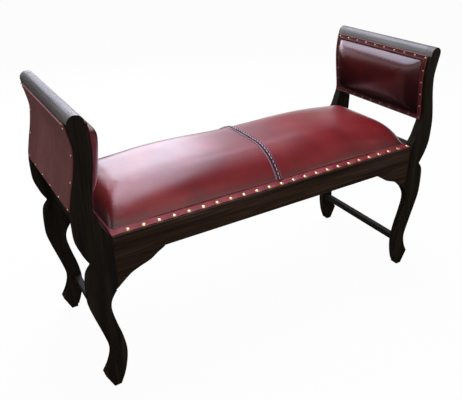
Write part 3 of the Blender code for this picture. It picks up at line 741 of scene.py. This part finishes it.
# %% [markdown]
# The straight rails come from the planer with crisp edges that are only broken with
# sandpaper. A welded copy of each CAD rail keeps its tenons, and a narrow bevel on its
# sharp edges catches the light as the real ones do. The crest rails share the posts'
# rounded profile, so they only need smooth shading across it.

# %% Plane the rails
BROKEN_EDGE = 0.0011
JOINT_EDGE = 0.0004  # a hairline, where the next piece is flush
SHARP_BEND = 50.0  # degrees


def eased_copy(node, name, width):
    """A copy of a CAD piece with its sharp edges broken."""
    piece = welded_copy(node, name)
    choose_sharp(piece, SHARP_BEND)
    round_off(width, 2)
    leave_edit()
    shade(piece, 35.0)
    return piece


RAILS = {f"apron_{face}": (APRON_WOOD, BROKEN_EDGE) for face in FACES}
for end in ENDS:
    RAILS[f"end_rail_{end}"] = (RAIL_WOOD, BROKEN_EDGE)
    RAILS[f"stretcher_{end}"] = (RAIL_WOOD, BROKEN_EDGE)
    RAILS[f"arm_low_rail_{end}"] = (RAIL_WOOD, JOINT_EDGE)
    RAILS[f"crest_rail_{end}"] = (CREST_WOOD, JOINT_EDGE)
for node, (finish, width) in RAILS.items():
    hand_over(eased_copy(node, "wood_" + node, width), finish, [node])
print("rails:", len(RAILS))

# %% [markdown]
# The pads are leather pulled tight over foam. A pad starts as a copy of the CAD foam,
# grown to the leather's size and rounded by subdivision. A voxel remesh covers it with an
# even net of squares, which a cloth simulation then puffs by a little air pressure while
# its foot is held down. A cap on how far a point may move keeps it in its place, and a
# last smoothing takes out the net's ridges, because tight leather has no wrinkles.

# %% Helpers for puffed pads
FRAMES = 20
FOAM_CORNER = 60.0  # degrees; edges that bend more stay creased
CLOTH = {"quality": 4, "mass": 0.3, "tension_stiffness": 15.0, "compression_stiffness": 15.0,
         "shear_stiffness": 8.0, "bending_stiffness": 6.0, "use_pressure": True,
         "uniform_pressure_force": 4.0, "vertex_group_mass": "held"}


def grown_copy(node, name, grow):
    """A CAD foam as a smooth form whose points are moved by grow(place)."""
    piece = welded_copy(node, name, quads=True)
    choose_sharp(piece, FOAM_CORNER)
    bpy.ops.transform.edge_crease(value=1.0)
    leave_edit()
    subdivide(piece, 2)
    for vertex in piece.data.vertices:
        vertex.co = grow(vertex.co)
    return piece


def lay_net(piece, voxel):
    remesh = piece.modifiers.new("Net", "REMESH")
    remesh.mode = "VOXEL"
    remesh.voxel_size = voxel
    remesh.adaptivity = 0.0
    apply_modifiers(piece)


def smooth_out(piece, held, times):
    """Smooths the net wherever it isn't held."""
    edit(piece)
    mesh = bmesh.from_edit_mesh(piece.data)
    for vertex in mesh.verts:
        vertex.select = not held(vertex.co)
    mesh.select_flush_mode()
    bmesh.update_edit_mesh(piece.data)
    bpy.ops.mesh.vertices_smooth(factor=0.5, repeat=times)
    leave_edit()


def puff(piece, held, most):
    """Blows the piece up with cloth pressure. held(place) says which points stay."""
    group = piece.vertex_groups.new(name="held")
    rest = [vertex.co.copy() for vertex in piece.data.vertices]
    group.add([index for index, place in enumerate(rest) if held(place)], 1.0, "REPLACE")
    cloth = piece.modifiers.new("Cloth", "CLOTH")
    for setting, value in CLOTH.items():
        setattr(cloth.settings, setting, value)
    cloth.settings.effector_weights.gravity = 0.0
    cloth.collision_settings.use_self_collision = False
    scene = bpy.context.scene
    for number in range(1, FRAMES + 1):
        scene.frame_set(number)
    solved = piece.evaluated_get(bpy.context.evaluated_depsgraph_get())
    places = [vertex.co.copy() for vertex in solved.data.vertices]
    piece.modifiers.remove(cloth)
    moved = 0.0
    for vertex, start, place in zip(piece.data.vertices, rest, places):
        step = place - start
        moved = max(moved, step.length)
        if step.length > most:
            step = step * (most / step.length)
        vertex.co = start + step
    scene.frame_set(1)
    piece.vertex_groups.clear()
    print(piece.name, "puffed by up to", round(moved * 1000, 2), "mm, held to", most * 1000)


def puffed_pad(node, name, grow, voxel, held, most, times):
    """A CAD foam grown, netted, puffed, smoothed before and after, and made finer."""
    piece = grown_copy(node, name, grow)
    lay_net(piece, voxel)
    smooth_out(piece, held, times[0])
    puff(piece, held, most)
    smooth_out(piece, held, times[1])
    subdivide(piece, 1)
    bpy.ops.object.shade_smooth()
    return piece


print("puffing is", "on")

# %% [markdown]
# The seat is one crowned pad, and its leather is in two halves that meet in the middle.
# So the whole pad is puffed first, and Bisect then splits it into a left and a right
# cover. Each half is filled where it was cut, under the seam.

# %% Puff the seat and split its cover
SEAT_NET = 0.0055
SEAT_HELD = 0.006  # height of the drawn-in foot
SEAT_MOST = 0.0012  # how far a point may move
SEAT_SMOOTHINGS = (8, 6)
SEAM_GAP = 0.0002
SKIN = 0.0021  # the leather and its clearance, over the foam
FOOT = FOAM_LOW.z
CROWN = LIP_HIGH.z

widen_x = 1 + SKIN / FOAM_HIGH.x
widen_y = 1 + SKIN / FOAM_HIGH.y
raise_z = (CROWN - FOOT) / (FOAM_HIGH.z - FOOT)


def seat_leather_place(place):
    return Vector((place.x * widen_x, place.y * widen_y, FOOT + (place.z - FOOT) * raise_z))


def seat_is_held(place):
    return place.z < FOOT + SEAT_HELD


seat = puffed_pad("seat_foam", "seat_net", seat_leather_place, SEAT_NET, seat_is_held,
                  SEAT_MOST, SEAT_SMOOTHINGS)
print("crown of the seat at", round(max(v.co.z for v in seat.data.vertices), 4), "m")


def half_of(whole, name, side):
    piece = new_object(name, whole.data.copy())
    edit(piece)
    bpy.ops.mesh.bisect(plane_co=(side * SEAM_GAP, 0, 0), plane_no=(side, 0, 0),
                        clear_inner=True, use_fill=True)
    leave_edit()
    return piece


for end, side in ENDS.items():
    cover = half_of(seat, f"seat_cover_{end}", side)
    shade(cover, 50.0, weighted=False)
    stands_for = [f"seat_leather_{end}"] + (["seat_foam"] if end == "left" else [])
    hand_over(cover, leather["seat"], stands_for)


def tree_of(piece):
    """A search tree over a mesh, for finding points on its surface."""
    mesh = piece.data
    return BVHTree.FromPolygons([vertex.co for vertex in mesh.vertices],
                                [polygon.vertices for polygon in mesh.polygons])


seat_tree = tree_of(seat)
bpy.data.objects.remove(seat)
print("seat covers made")

# %% [markdown]
# Every edging on the bench is a frame of leather strips: the seat's lip and the borders of
# the arms. Such a frame is modelled flat. A plane is inset again and again, its middle is
# deleted, and its long edges are cut into short steps. Its points are then moved to where
# the leather lies, and Solidify gives it its thickness.

# %% Helpers for frames and strips of leather
FIRST_INSET = 0.0002
SHORT_EDGE = 0.020  # edges longer than this run along a strip


def cut_long_edges(piece, axis, cuts):
    def along(start, end):
        run = end - start
        return abs(run[axis]) > SHORT_EDGE and abs(run[1 - axis]) < WELD

    choose_edges(piece, along)
    bpy.ops.mesh.subdivide(number_cuts=cuts)


def flat_frame(name, rectangles, cuts_x, cuts_y):
    """Nested rectangles (half width, half height) as a flat frame with mitred corners."""
    bpy.ops.object.select_all(action="DESELECT")
    bpy.ops.mesh.primitive_plane_add(size=2.0, location=(0, 0, 0))
    piece = named(name)
    edit(piece)
    bpy.ops.mesh.select_mode(type="FACE")
    bpy.ops.mesh.select_all(action="SELECT")
    wide, high = rectangles[0]
    bpy.ops.transform.resize(value=(wide, high, 1.0), center_override=(0, 0, 0))
    for next_wide, next_high in rectangles[1:]:
        bpy.ops.mesh.inset(thickness=FIRST_INSET)
        narrower = (next_wide / (wide - FIRST_INSET), next_high / (high - FIRST_INSET), 1.0)
        bpy.ops.transform.resize(value=narrower, center_override=(0, 0, 0))
        wide, high = next_wide, next_high
    bpy.ops.mesh.delete(type="FACE")
    cut_long_edges(piece, X, cuts_x)
    cut_long_edges(piece, Y, cuts_y)
    leave_edit()
    return piece


def flat_strip(name, half_x, half_y, cuts_x, cuts_y):
    """A plane cut into a grid, centred on the origin."""
    bpy.ops.object.select_all(action="DESELECT")
    bpy.ops.mesh.primitive_grid_add(x_subdivisions=cuts_x, y_subdivisions=cuts_y, size=2.0,
                                    location=(0, 0, 0))
    piece = named(name)
    edit(piece)
    bpy.ops.transform.resize(value=(half_x, half_y, 1.0), center_override=(0, 0, 0))
    leave_edit()
    return piece


def lay_leather(piece, lay, outward, thickness):
    """Moves a flat piece to its place and gives it thickness under its outer side."""
    for vertex in piece.data.vertices:
        vertex.co = lay(vertex.co.x, vertex.co.y)
    piece.data.update()
    facing = sum(face.normal.dot(outward(face.center)) for face in piece.data.polygons)
    if facing < 0:
        edit(piece)
        bpy.ops.mesh.flip_normals()
        leave_edit()
    wall = piece.modifiers.new("Thickness", "SOLIDIFY")
    wall.thickness = thickness
    wall.offset = -1.0
    apply_modifiers(piece)
    shade(piece, 60.0, weighted=False)


print("leather helpers ready")

# %% [markdown]
# Below the crown the leather runs out over the rails, where the nails hold it. It is drawn
# up where it meets the cushion, pulled down at each nail and pillowed between two of them,
# and its cut edge wanders a little, because it was cut by hand.

# %% Lay the seat's lip
LEATHER = 0.0018
NAIL_PITCH = 0.0377
NAIL_COUNT = 24
NAIL_START = 0.0395  # from the left end of the seat rail
NAIL_INSET = 0.0080
LIP_LIFT = 0.0027
LIP_HOLLOW = 0.0030  # how far it is drawn up where it meets the cushion
LIP_UNDER = 0.004  # how far the lip runs in under the cushion
CUT_EDGE = 0.004  # how far in from its cut edge the lip wanders and thins
CUT_DRIFT = 0.0003
CUT_ROUND = 0.0006

lip_half_x, lip_half_y = LIP_HIGH.x, LIP_HIGH.y
foot_x = FOAM_HIGH.x - LIP_UNDER
foot_y = FOAM_HIGH.y - LIP_UNDER
nail_row_y = lip_half_y - NAIL_INSET
nail_xs = [-TOE + NAIL_START + index * NAIL_PITCH for index in range(NAIL_COUNT)]


def wander(place, seed):
    """A slow, repeatable wobble between -1 and 1."""
    return (math.sin(place * 61.0 + seed) + math.sin(place * 137.0 + 2.3 * seed)
            + 0.6 * math.sin(place * 311.0 + 5.1 * seed)) / 2.6


def lip_place(x, y):
    nailed = abs(y) > foot_y  # over an apron, and not over an end rail
    edge = max(0.0, 1 - (lip_half_y - abs(y)) / CUT_EDGE) if nailed else 0.0
    drift = edge * CUT_DRIFT * (wander(x * 0.5, 1.0 if y < 0 else 2.0) - 1)
    phase = (x + TOE - NAIL_START) / NAIL_PITCH
    across = min(1.0, (lip_half_y - abs(y)) / (2 * NAIL_INSET))
    pillow = math.sin(math.pi * phase) ** 2 * math.sin(math.pi * (0.15 + 0.7 * across))
    rise = LIP_LIFT * max(0.0, pillow) if nailed else 0.0
    to_cushion = max(abs(x) - FOAM_HIGH.x, abs(y) - FOAM_HIGH.y, SKIN) - SKIN
    hollow = LIP_HOLLOW * math.exp(-to_cushion / LIP_HOLLOW)
    height = FOOT + LEATHER + rise + hollow - CUT_ROUND * edge ** 3
    return Vector((x, y * (1 + drift / lip_half_y), height))


def up(place):
    return Vector((0, 0, 1))


lip_rows = (0.0, 0.0005, 0.0014, 0.004, 0.007, 0.009, 0.012, 0.016)
lip_width = lip_half_y - foot_y
lip_rectangles = [(lip_half_x - (lip_half_x - foot_x) * row / lip_width, lip_half_y - row)
                  for row in lip_rows] + [(foot_x, foot_y)]
whole_lip = flat_frame("whole_lip", lip_rectangles, 240, 60)
lay_leather(whole_lip, lip_place, up, LEATHER)
for end, side in ENDS.items():
    lip = half_of(whole_lip, f"seat_lip_{end}", side)
    shade(lip, 60.0, weighted=False)
    hand_over(lip, leather["lip"])
bpy.data.objects.remove(whole_lip)
print("seat lip laid, foot at", round(foot_x, 4), round(foot_y, 4))

# %% [markdown]
# One brass nail is modelled and copied everywhere. Its head is a low dome: a UV sphere
# whose lower half is cut off, squashed about its foot, its rim drawn down into the leather
# and closed. A copy is turned to the surface it sits on and keeps its own mesh, and each
# row of nails becomes one piece, of bright or of tarnished brass.

# %% Model a nail and set the seat's rows
NAIL_RADIUS = 0.0059
NAIL_RISE = 0.0030
NAIL_RIM = 0.0010  # how far the rim reaches down into the leather
NAIL_SPIN = 0.7  # radians from each nail to the next, so that no two look the same
NAIL_LEAN = 0.06
NAIL_LIFT = 0.0004
SMALL_NAIL = 0.45  # the arms' nails, as a share of the seat's


def model_nail():
    bpy.ops.object.select_all(action="DESELECT")
    bpy.ops.mesh.primitive_uv_sphere_add(segments=14, ring_count=8, radius=NAIL_RADIUS)
    nail = named("nail_model")
    edit(nail)
    bpy.ops.mesh.bisect(plane_co=(0, 0, 0), plane_no=(0, 0, 1), clear_inner=True,
                        use_fill=False, threshold=WELD)
    bpy.ops.mesh.select_all(action="SELECT")
    bpy.ops.transform.resize(value=(1.0, 1.0, NAIL_RISE / NAIL_RADIUS),
                             center_override=(0, 0, 0))
    rim = choose_edges(nail, lambda a, b: a.z < WELD and b.z < WELD)
    bpy.ops.mesh.extrude_region_move(TRANSFORM_OT_translate={"value": (0, 0, -NAIL_RIM)})
    bpy.ops.mesh.edge_face_add()
    print("edges in the nail's rim:", rim)
    bpy.ops.mesh.select_all(action="SELECT")
    bpy.ops.mesh.normals_make_consistent(inside=False)
    leave_edit()
    shade(nail, 50.0, weighted=False)
    return nail


NAIL = model_nail()


def nail_row(name, spots, size=1.0, finish=BRASS):
    """Copies of the nail at (place, outward direction), joined to one piece."""
    copies = []
    for index, (place, outward) in enumerate(spots):
        copy = new_object(f"{name}_{index}", NAIL.data.copy())
        turn = Vector(outward).to_track_quat("Z", "Y").to_matrix().to_4x4()
        spin = Matrix.Rotation(index * NAIL_SPIN, 4, "Z")
        copy.data.transform(Matrix.Translation(place) @ turn @ spin @ Matrix.Scale(size, 4))
        copies.append(copy)
    only(copies[0])
    for copy in copies:
        copy.select_set(True)
    bpy.ops.object.join()
    hand_over(named(name), finish)


seat_spots = [((x, towards * nail_row_y, FOOT + LEATHER + NAIL_LIFT),
               (0, towards * NAIL_LEAN, 1)) for towards in FACES.values() for x in nail_xs]
nail_row("seat_nails", seat_spots)
print("seat nails:", len(seat_spots))

# %% [markdown]
# The two halves of the cover are joined by a folded strip, with a welt laid along its left
# fold and a laced braid on it. The welt is coloured pale lavender, a painted highlight
# along that fold. All have to lie on the puffed crown, so rays are shot outwards from the
# middle of the seat, and the points where they hit, spaced evenly along the arc, are the
# strip's route.

# %% Lay the seam strip over the crown
STRIP_HALF = 0.0100
STRIP_LIFT = 0.0012
STRIP_STEPS = 130
RAYS = 720


def crown_arc(x, count):
    """Points and outward directions over the crown at x, spaced evenly front to back."""
    centre = Vector((x, 0.0, FOAM_LOW.z + 0.002))
    hits = []
    for index in range(RAYS + 1):
        angle = math.pi * index / RAYS
        ray = Vector((0.0, -math.cos(angle), math.sin(angle)))
        place, normal, _, _ = seat_tree.ray_cast(centre, ray)
        if place:
            hits.append((place, normal if normal.dot(ray) > 0 else -normal))
    lengths = [0.0]
    for (before, _), (after, _) in zip(hits, hits[1:]):
        lengths.append(lengths[-1] + (after - before).length)
    arc, step = [], 0
    for index in range(count + 1):
        wanted = lengths[-1] * index / count
        while step < len(lengths) - 2 and lengths[step + 1] < wanted:
            step += 1
        share = (wanted - lengths[step]) / max(lengths[step + 1] - lengths[step], 1e-9)
        place = hits[step][0].lerp(hits[step + 1][0], share)
        outward = hits[step][1].lerp(hits[step + 1][1], share)
        outward.x = 0.0
        arc.append((place, outward.normalized()))
    return arc, lengths[-1]


middle_arc, arc_length = crown_arc(0.003, STRIP_STEPS)


def on_crown(across, along, lift):
    """A point over the crown: across the seam, along its arc from the front, lifted."""
    spot = min(max(along / arc_length, 0.0), 1.0) * STRIP_STEPS
    index = min(int(spot), STRIP_STEPS - 1)
    place = middle_arc[index][0].lerp(middle_arc[index + 1][0], spot - index)
    outward = middle_arc[index][1].lerp(middle_arc[index + 1][1], spot - index).normalized()
    return Vector((across, place.y, place.z)) + outward * lift, outward


def strip_height(across):
    """The strip is folded at both edges, higher at the left, under the welt."""
    share = across / STRIP_HALF
    welt = 1.1 * math.exp(-((share + 0.74) / 0.17) ** 2)
    fold = 0.45 * math.exp(-((share - 0.80) / 0.14) ** 2)
    edge = max(0.0, (abs(share) - 0.93) / 0.07)
    return STRIP_LIFT * (1.0 + welt + fold - 0.8 * edge ** 2)


def strip_place(across, along):
    return on_crown(across, along + arc_length / 2, strip_height(across))[0]


def from_the_seat(place):
    return place - Vector((0, 0, FOOT))


strip = flat_strip("seam_strip", STRIP_HALF, arc_length / 2, 28, 180)
lay_leather(strip, strip_place, from_the_seat, STRIP_LIFT)
hand_over(strip, leather["seam"], ["seat_seam_strip"])
print("seam strip is", round(arc_length * 1000), "mm long")

# %% [markdown]
# The lace is two dark thongs that cross again and again over a paler cord. Each follows a
# wave across the strip, and the two waves are mirrored, so they make a chain of eyes with
# the cord showing through. At each crossing one thong passes over the other, which is a
# second wave, upwards, of half the length. The cord's pale colour is a painted highlight
# in each eye.

# %% Lace the seam
LACE_MIDDLE = 0.0012
LACE_SWING = 0.0037
LACE_RADIUS = 0.0013
CORD_RADIUS = 0.0021
LACE_PERIOD = 0.022
LACE_WEAVE = 0.0008
LACE_POINTS = 14  # in each period
LACE_ENDS = 0.004  # short of the arc's ends
LACE_LIFT = 0.0014
CORD_LIFT = 0.0003
WELT_MIDDLE = -0.0076
WELT_RADIUS = 0.0017


def tube(name, points, radius, sides=3, closed=False):
    """A round cord through points, as a mesh."""
    curve = bpy.data.curves.new(name, "CURVE")
    curve.dimensions = "3D"
    curve.bevel_depth = radius
    curve.bevel_resolution = sides
    curve.use_fill_caps = not closed
    spline = curve.splines.new("POLY")
    spline.use_cyclic_u = closed
    spline.points.add(len(points) - 1)
    for point, place in zip(spline.points, points):
        point.co = (*place, 1.0)
    only(new_object(name, curve))
    bpy.ops.object.convert(target="MESH")
    piece = named(name)
    edit(piece)
    bpy.ops.mesh.remove_doubles(threshold=WELD)
    bpy.ops.mesh.normals_make_consistent(inside=False)
    leave_edit()
    only(piece)
    bpy.ops.object.shade_smooth()
    return piece


def lace_route(swing, weave, lift):
    count = round((arc_length - 2 * LACE_ENDS) / LACE_PERIOD * LACE_POINTS)
    route = []
    for index in range(count + 1):
        along = LACE_ENDS + (arc_length - 2 * LACE_ENDS) * index / count
        phase = math.tau * index / LACE_POINTS
        across = LACE_MIDDLE + swing * math.sin(phase)
        route.append(on_crown(across, along, lift + weave * math.cos(phase))[0])
    return route


strip_top = strip_height(LACE_MIDDLE)
for number, turn in enumerate((1, -1)):
    route = lace_route(LACE_SWING * turn, LACE_WEAVE * turn, strip_top + LACE_LIFT)
    lace = tube(f"seam_lace_{number + 1}", route, LACE_RADIUS)
    hand_over(lace, leather["lace"])
cord = tube("seam_cord", lace_route(0.0, 0.0, strip_top + CORD_LIFT), CORD_RADIUS)
hand_over(cord, leather["cord"])
welt_route = [on_crown(WELT_MIDDLE, arc_length * index / STRIP_STEPS, STRIP_LIFT)[0]
              for index in range(1, STRIP_STEPS)]
hand_over(tube("seam_welt", welt_route, WELT_RADIUS), leather["welt"])
print("lace crossings:", round(arc_length / LACE_PERIOD * 2))

# %% [markdown]
# Each arm has a padded inner side. The arm curves like its posts, so a point on it is
# found from its height: the CAD border's own points say how far out the arm's face is
# at each level. The pad itself is grown, netted and puffed as the seat was.

# %% Read the arms' curves


def level_table(node, pick):
    """Heights of a CAD skin's points, and how far out the skin is at each of them."""
    levels = {}
    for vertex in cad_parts[node].data.vertices:
        levels.setdefault(round(vertex.co.z, 4), []).append(abs(vertex.co.x))
    return [(height, pick(levels[height])) for height in sorted(levels)]


def reach_at(table, height):
    """How far out a skin is at a height, and its slope there."""
    for (z0, x0), (z1, x1) in zip(table, table[1:]):
        if height <= z1 or (z1, x1) == table[-1]:
            slope = (x1 - x0) / (z1 - z0)
            return x0 + slope * (height - z0), slope


def on_arm(table, side, y, z, lift):
    """A point lifted off an arm's inner or outer skin, and the way the skin faces there."""
    x, slope = reach_at(table, z)
    facing = side if table is OUTER_FACE else -side
    outward = Vector((facing, 0.0, -slope * facing * side)).normalized()
    return Vector((side * x, y, z)) + outward * lift, outward


INNER_FACE = level_table("arm_border_right", min)
OUTER_FACE = level_table("outer_panel_right", max)
BORDER_LOW, BORDER_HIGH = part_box("arm_border_right")
PANEL_LOW, PANEL_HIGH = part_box("outer_panel_right")
print("arm curve levels:", len(INNER_FACE), "inner,", len(OUTER_FACE), "outer")

# %% Puff the arm pads
ARM_NET = 0.0042
ARM_HELD = 0.0045
ARM_MOST = 0.0042
ARM_SMOOTHINGS = (5, 4)
PAD_LOW, PAD_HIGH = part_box("arm_pad_foam_right")
pad_middle = (PAD_LOW.z + PAD_HIGH.z) / 2
pad_taller = 1 + SKIN / (PAD_HIGH.z - pad_middle)
pad_wider = 1 + SKIN / PAD_HIGH.y
crown_x, _ = reach_at(INNER_FACE, pad_middle)
pad_fuller = (crown_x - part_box("arm_pad_leather_right")[0].x) / (crown_x - PAD_LOW.x)


def arm_leather_place(place):
    """Away from the board, and out to the leather's outline."""
    side = 1 if place.x > 0 else -1
    height = pad_middle + (place.z - pad_middle) * pad_taller
    depth = reach_at(INNER_FACE, place.z)[0] - abs(place.x)
    reach = reach_at(INNER_FACE, height)[0] - depth * (pad_fuller if depth > 0 else 1.0)
    return Vector((side * reach, place.y * pad_wider, height))


def near_the_board(place):
    return abs(place.x) > reach_at(INNER_FACE, place.z)[0] - ARM_HELD


for end in ENDS:
    pad = puffed_pad(f"arm_pad_foam_{end}", f"arm_pad_{end}", arm_leather_place, ARM_NET,
                     near_the_board, ARM_MOST, ARM_SMOOTHINGS)
    hand_over(pad, leather["arm"],
              [f"arm_pad_foam_{end}", f"arm_pad_leather_{end}"])
print("arm pads puffed, fuller by", round(pad_fuller, 3))

# %% [markdown]
# Round each pad runs a border of leather, folded at both edges and nailed down. It is a
# flat frame like the seat's lip, laid on the arm's curve, with a roll along both edges and
# a fine piping on each roll. At each nail the leather is pulled down, so the border pillows
# between nails. The nails along the top and near the front are of bright brass, those
# along the bottom and the back of a darker brass.

# %% Sew the arm borders and nail them
BORDER_WIDTH = 0.0122
BORDER_NAILS_LONG = 10
BORDER_NAILS_SHORT = 6
BORDER_SKIN = 0.0012
BORDER_PILLOW = 0.0010
BORDER_NAIL_LIFT = 0.0003
DRIFT_LONG, DRIFT_HIGH = 0.0012, 0.0007  # how unevenly the nails were set
ROLL = 0.0010  # how proud the folded edges stand
ROLL_WIDTH = 0.0010
ROLL_INSET = 0.0014
PIPING = 0.0009
PIPING_STEPS = 48  # along each side

border_middle = (BORDER_LOW.z + BORDER_HIGH.z) / 2
border_half_y = BORDER_HIGH.y
border_half_z = BORDER_HIGH.z - border_middle
long_pitch = 2 * (border_half_y - BORDER_WIDTH / 2) / (BORDER_NAILS_LONG - 1)
short_pitch = 2 * (border_half_z - BORDER_WIDTH / 2) / (BORDER_NAILS_SHORT - 1)


def border_height(y, height):
    """How proud the border stands at a place, measured from its middle."""
    from_long_edge = border_half_z - abs(height)
    from_short_edge = border_half_y - abs(y)
    across = min(from_long_edge, from_short_edge)
    if from_long_edge < from_short_edge:
        phase = (y + border_half_y - BORDER_WIDTH / 2) / long_pitch
    else:
        phase = (height + border_half_z - BORDER_WIDTH / 2) / short_pitch
    rolls = math.exp(-((across - ROLL_INSET) / ROLL_WIDTH) ** 2)
    rolls += math.exp(-((across - BORDER_WIDTH + ROLL_INSET) / ROLL_WIDTH) ** 2)
    pillow = math.sin(math.pi * phase) ** 2 * math.sin(math.pi * across / BORDER_WIDTH)
    return ROLL * rolls + BORDER_PILLOW * max(0.0, pillow)


def border_spots(side, bright):
    """Where one border's bright or dull nails sit, and which way they look."""
    y_out = border_half_y - BORDER_WIDTH / 2
    z_out = border_half_z - BORDER_WIDTH / 2
    half = 1 if bright else -1  # top and front, or bottom and back
    places = [(-y_out + index * long_pitch, half * z_out) for index in range(BORDER_NAILS_LONG)]
    places += [(-half * y_out, -z_out + index * short_pitch)
               for index in range(1, BORDER_NAILS_SHORT - 1)]
    spots = []
    for number, (y, height) in enumerate(places):
        y += DRIFT_LONG * wander(number, 3.0)
        z = border_middle + height + DRIFT_HIGH * wander(number, 4.0)
        spots.append(on_arm(INNER_FACE, side, y, z, BORDER_NAIL_LIFT))
    return spots


def piping_route(side, inset):
    """Once round a border, so far in from its outer edge."""
    half_y, half_z = border_half_y - inset, border_half_z - inset
    corners = ((-half_y, -half_z), (half_y, -half_z), (half_y, half_z), (-half_y, half_z))
    route = []
    for (y0, z0), (y1, z1) in zip(corners, corners[1:] + corners[:1]):
        for index in range(PIPING_STEPS):
            share = index / PIPING_STEPS
            y, height = y0 + (y1 - y0) * share, z0 + (z1 - z0) * share
            lift = border_height(y, height) + PIPING * 0.5
            route.append(on_arm(INNER_FACE, side, y, border_middle + height, lift)[0])
    return route


border_rows = (0.0, 0.0006, 0.0014, 0.0022, 0.0032, 0.0046, 0.0061, 0.0076, 0.0090, 0.0100,
               0.0108, 0.0116, BORDER_WIDTH)
border_rectangles = [(border_half_y - row, border_half_z - row) for row in border_rows]
for end, side in ENDS.items():
    border = flat_frame(f"arm_border_band_{end}", border_rectangles, 108, 60)

    def border_place(y, height):
        return on_arm(INNER_FACE, side, y, border_middle + height, border_height(y, height))[0]

    def inward(place):
        return Vector((-side, 0, 0))

    lay_leather(border, border_place, inward, BORDER_SKIN)
    hand_over(border, leather["border"], [f"arm_border_{end}"])
    for number, inset in enumerate((ROLL_INSET, BORDER_WIDTH - ROLL_INSET)):
        piping = tube(f"arm_piping_{end}_{number + 1}", piping_route(side, inset), PIPING, 2,
                      closed=True)
        hand_over(piping, leather["lip"])
    nail_row(f"arm_nails_bright_{end}", border_spots(side, True), SMALL_NAIL)
    nail_row(f"arm_nails_dull_{end}", border_spots(side, False), SMALL_NAIL, DULL_BRASS)
print("border nails on each arm:", len(border_spots(1, True) + border_spots(1, False)))

# %% [markdown]
# The outer side of an arm is covered with flat, unpadded leather. It is a welded copy of
# the CAD panel with its edges rounded. Its top edge is turned over a cord, which puckers
# at each stitch; the cord's paler colour is a painted highlight along that edge. Its nails
# are small, few and far apart.

# %% Cover the outer sides
PANEL_EDGE = 0.0009
OUTER_NAIL_INSET = 0.0045
OUTER_NAILS_TOP = 0.010  # how far the highest nails sit below the top
OUTER_NAILS_LONG = 6
OUTER_NAILS_SHORT = 4
OUTER_NAIL_LIFT = 0.0002
TURNED_EDGE = 0.0011
TURNED_LIFT = 0.0004
TURNED_ENDS = 0.002  # short of the panel's ends
PUCKERS = 7
PUCKER_STEPS = 24
PUCKER_WIDTH = 0.07  # as a share of the distance between two stitches
PUCKER_DOWN, PUCKER_IN = 0.0016, 0.0008


def outer_spots(side):
    half_y = PANEL_HIGH.y - OUTER_NAIL_INSET
    low, high = PANEL_LOW.z + OUTER_NAIL_INSET, PANEL_HIGH.z - OUTER_NAILS_TOP
    places = [(-half_y + 2 * half_y * index / (OUTER_NAILS_LONG - 1), low)
              for index in range(OUTER_NAILS_LONG)]
    for index in range(1, OUTER_NAILS_SHORT):
        z = low + (high - low) * index / (OUTER_NAILS_SHORT - 1)
        places += [(-half_y, z), (half_y, z)]
    return [on_arm(OUTER_FACE, side, y, z, OUTER_NAIL_LIFT) for y, z in places]


def turned_edge_route(side):
    half_y = PANEL_HIGH.y - TURNED_ENDS
    count = PUCKERS * PUCKER_STEPS
    route = []
    for index in range(count + 1):
        share = index / count
        pucker = math.exp(-((share * PUCKERS % 1.0 - 0.5) / PUCKER_WIDTH) ** 2)
        z = PANEL_HIGH.z - TURNED_EDGE - PUCKER_DOWN * pucker
        y = -half_y + 2 * half_y * share
        route.append(on_arm(OUTER_FACE, side, y, z, TURNED_LIFT - PUCKER_IN * pucker)[0])
    return route


for end, side in ENDS.items():
    panel = eased_copy(f"outer_panel_{end}", f"outer_leather_{end}", PANEL_EDGE)
    hand_over(panel, leather["panel"], [f"outer_panel_{end}"])
    turned = tube(f"outer_turned_edge_{end}", turned_edge_route(side), TURNED_EDGE)
    hand_over(turned, leather["turned"])
    nail_row(f"outer_nails_{end}", outer_spots(side), SMALL_NAIL)
bpy.data.objects.remove(NAIL)
print("outer nails on each arm:", len(outer_spots(1)))

# %% [markdown]
# What lies under the seat is plain, unstained wood. These CAD pieces are right as they
# are and only get their finish.

# %% Finish the hidden frame parts
for name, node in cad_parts.items():
    if node.hide_render:
        continue
    if "board" in name:
        finish = PLYWOOD
    elif "batten" in name or "dowel_leg" in name:
        finish = BEECH[X]
    elif "bearer" in name:
        finish = BEECH[Y]
    else:
        finish = BEECH[Z]
    node.data.materials.clear()
    node.data.materials.append(finish)
print("plain pieces:", sum(not node.hide_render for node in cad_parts.values()))
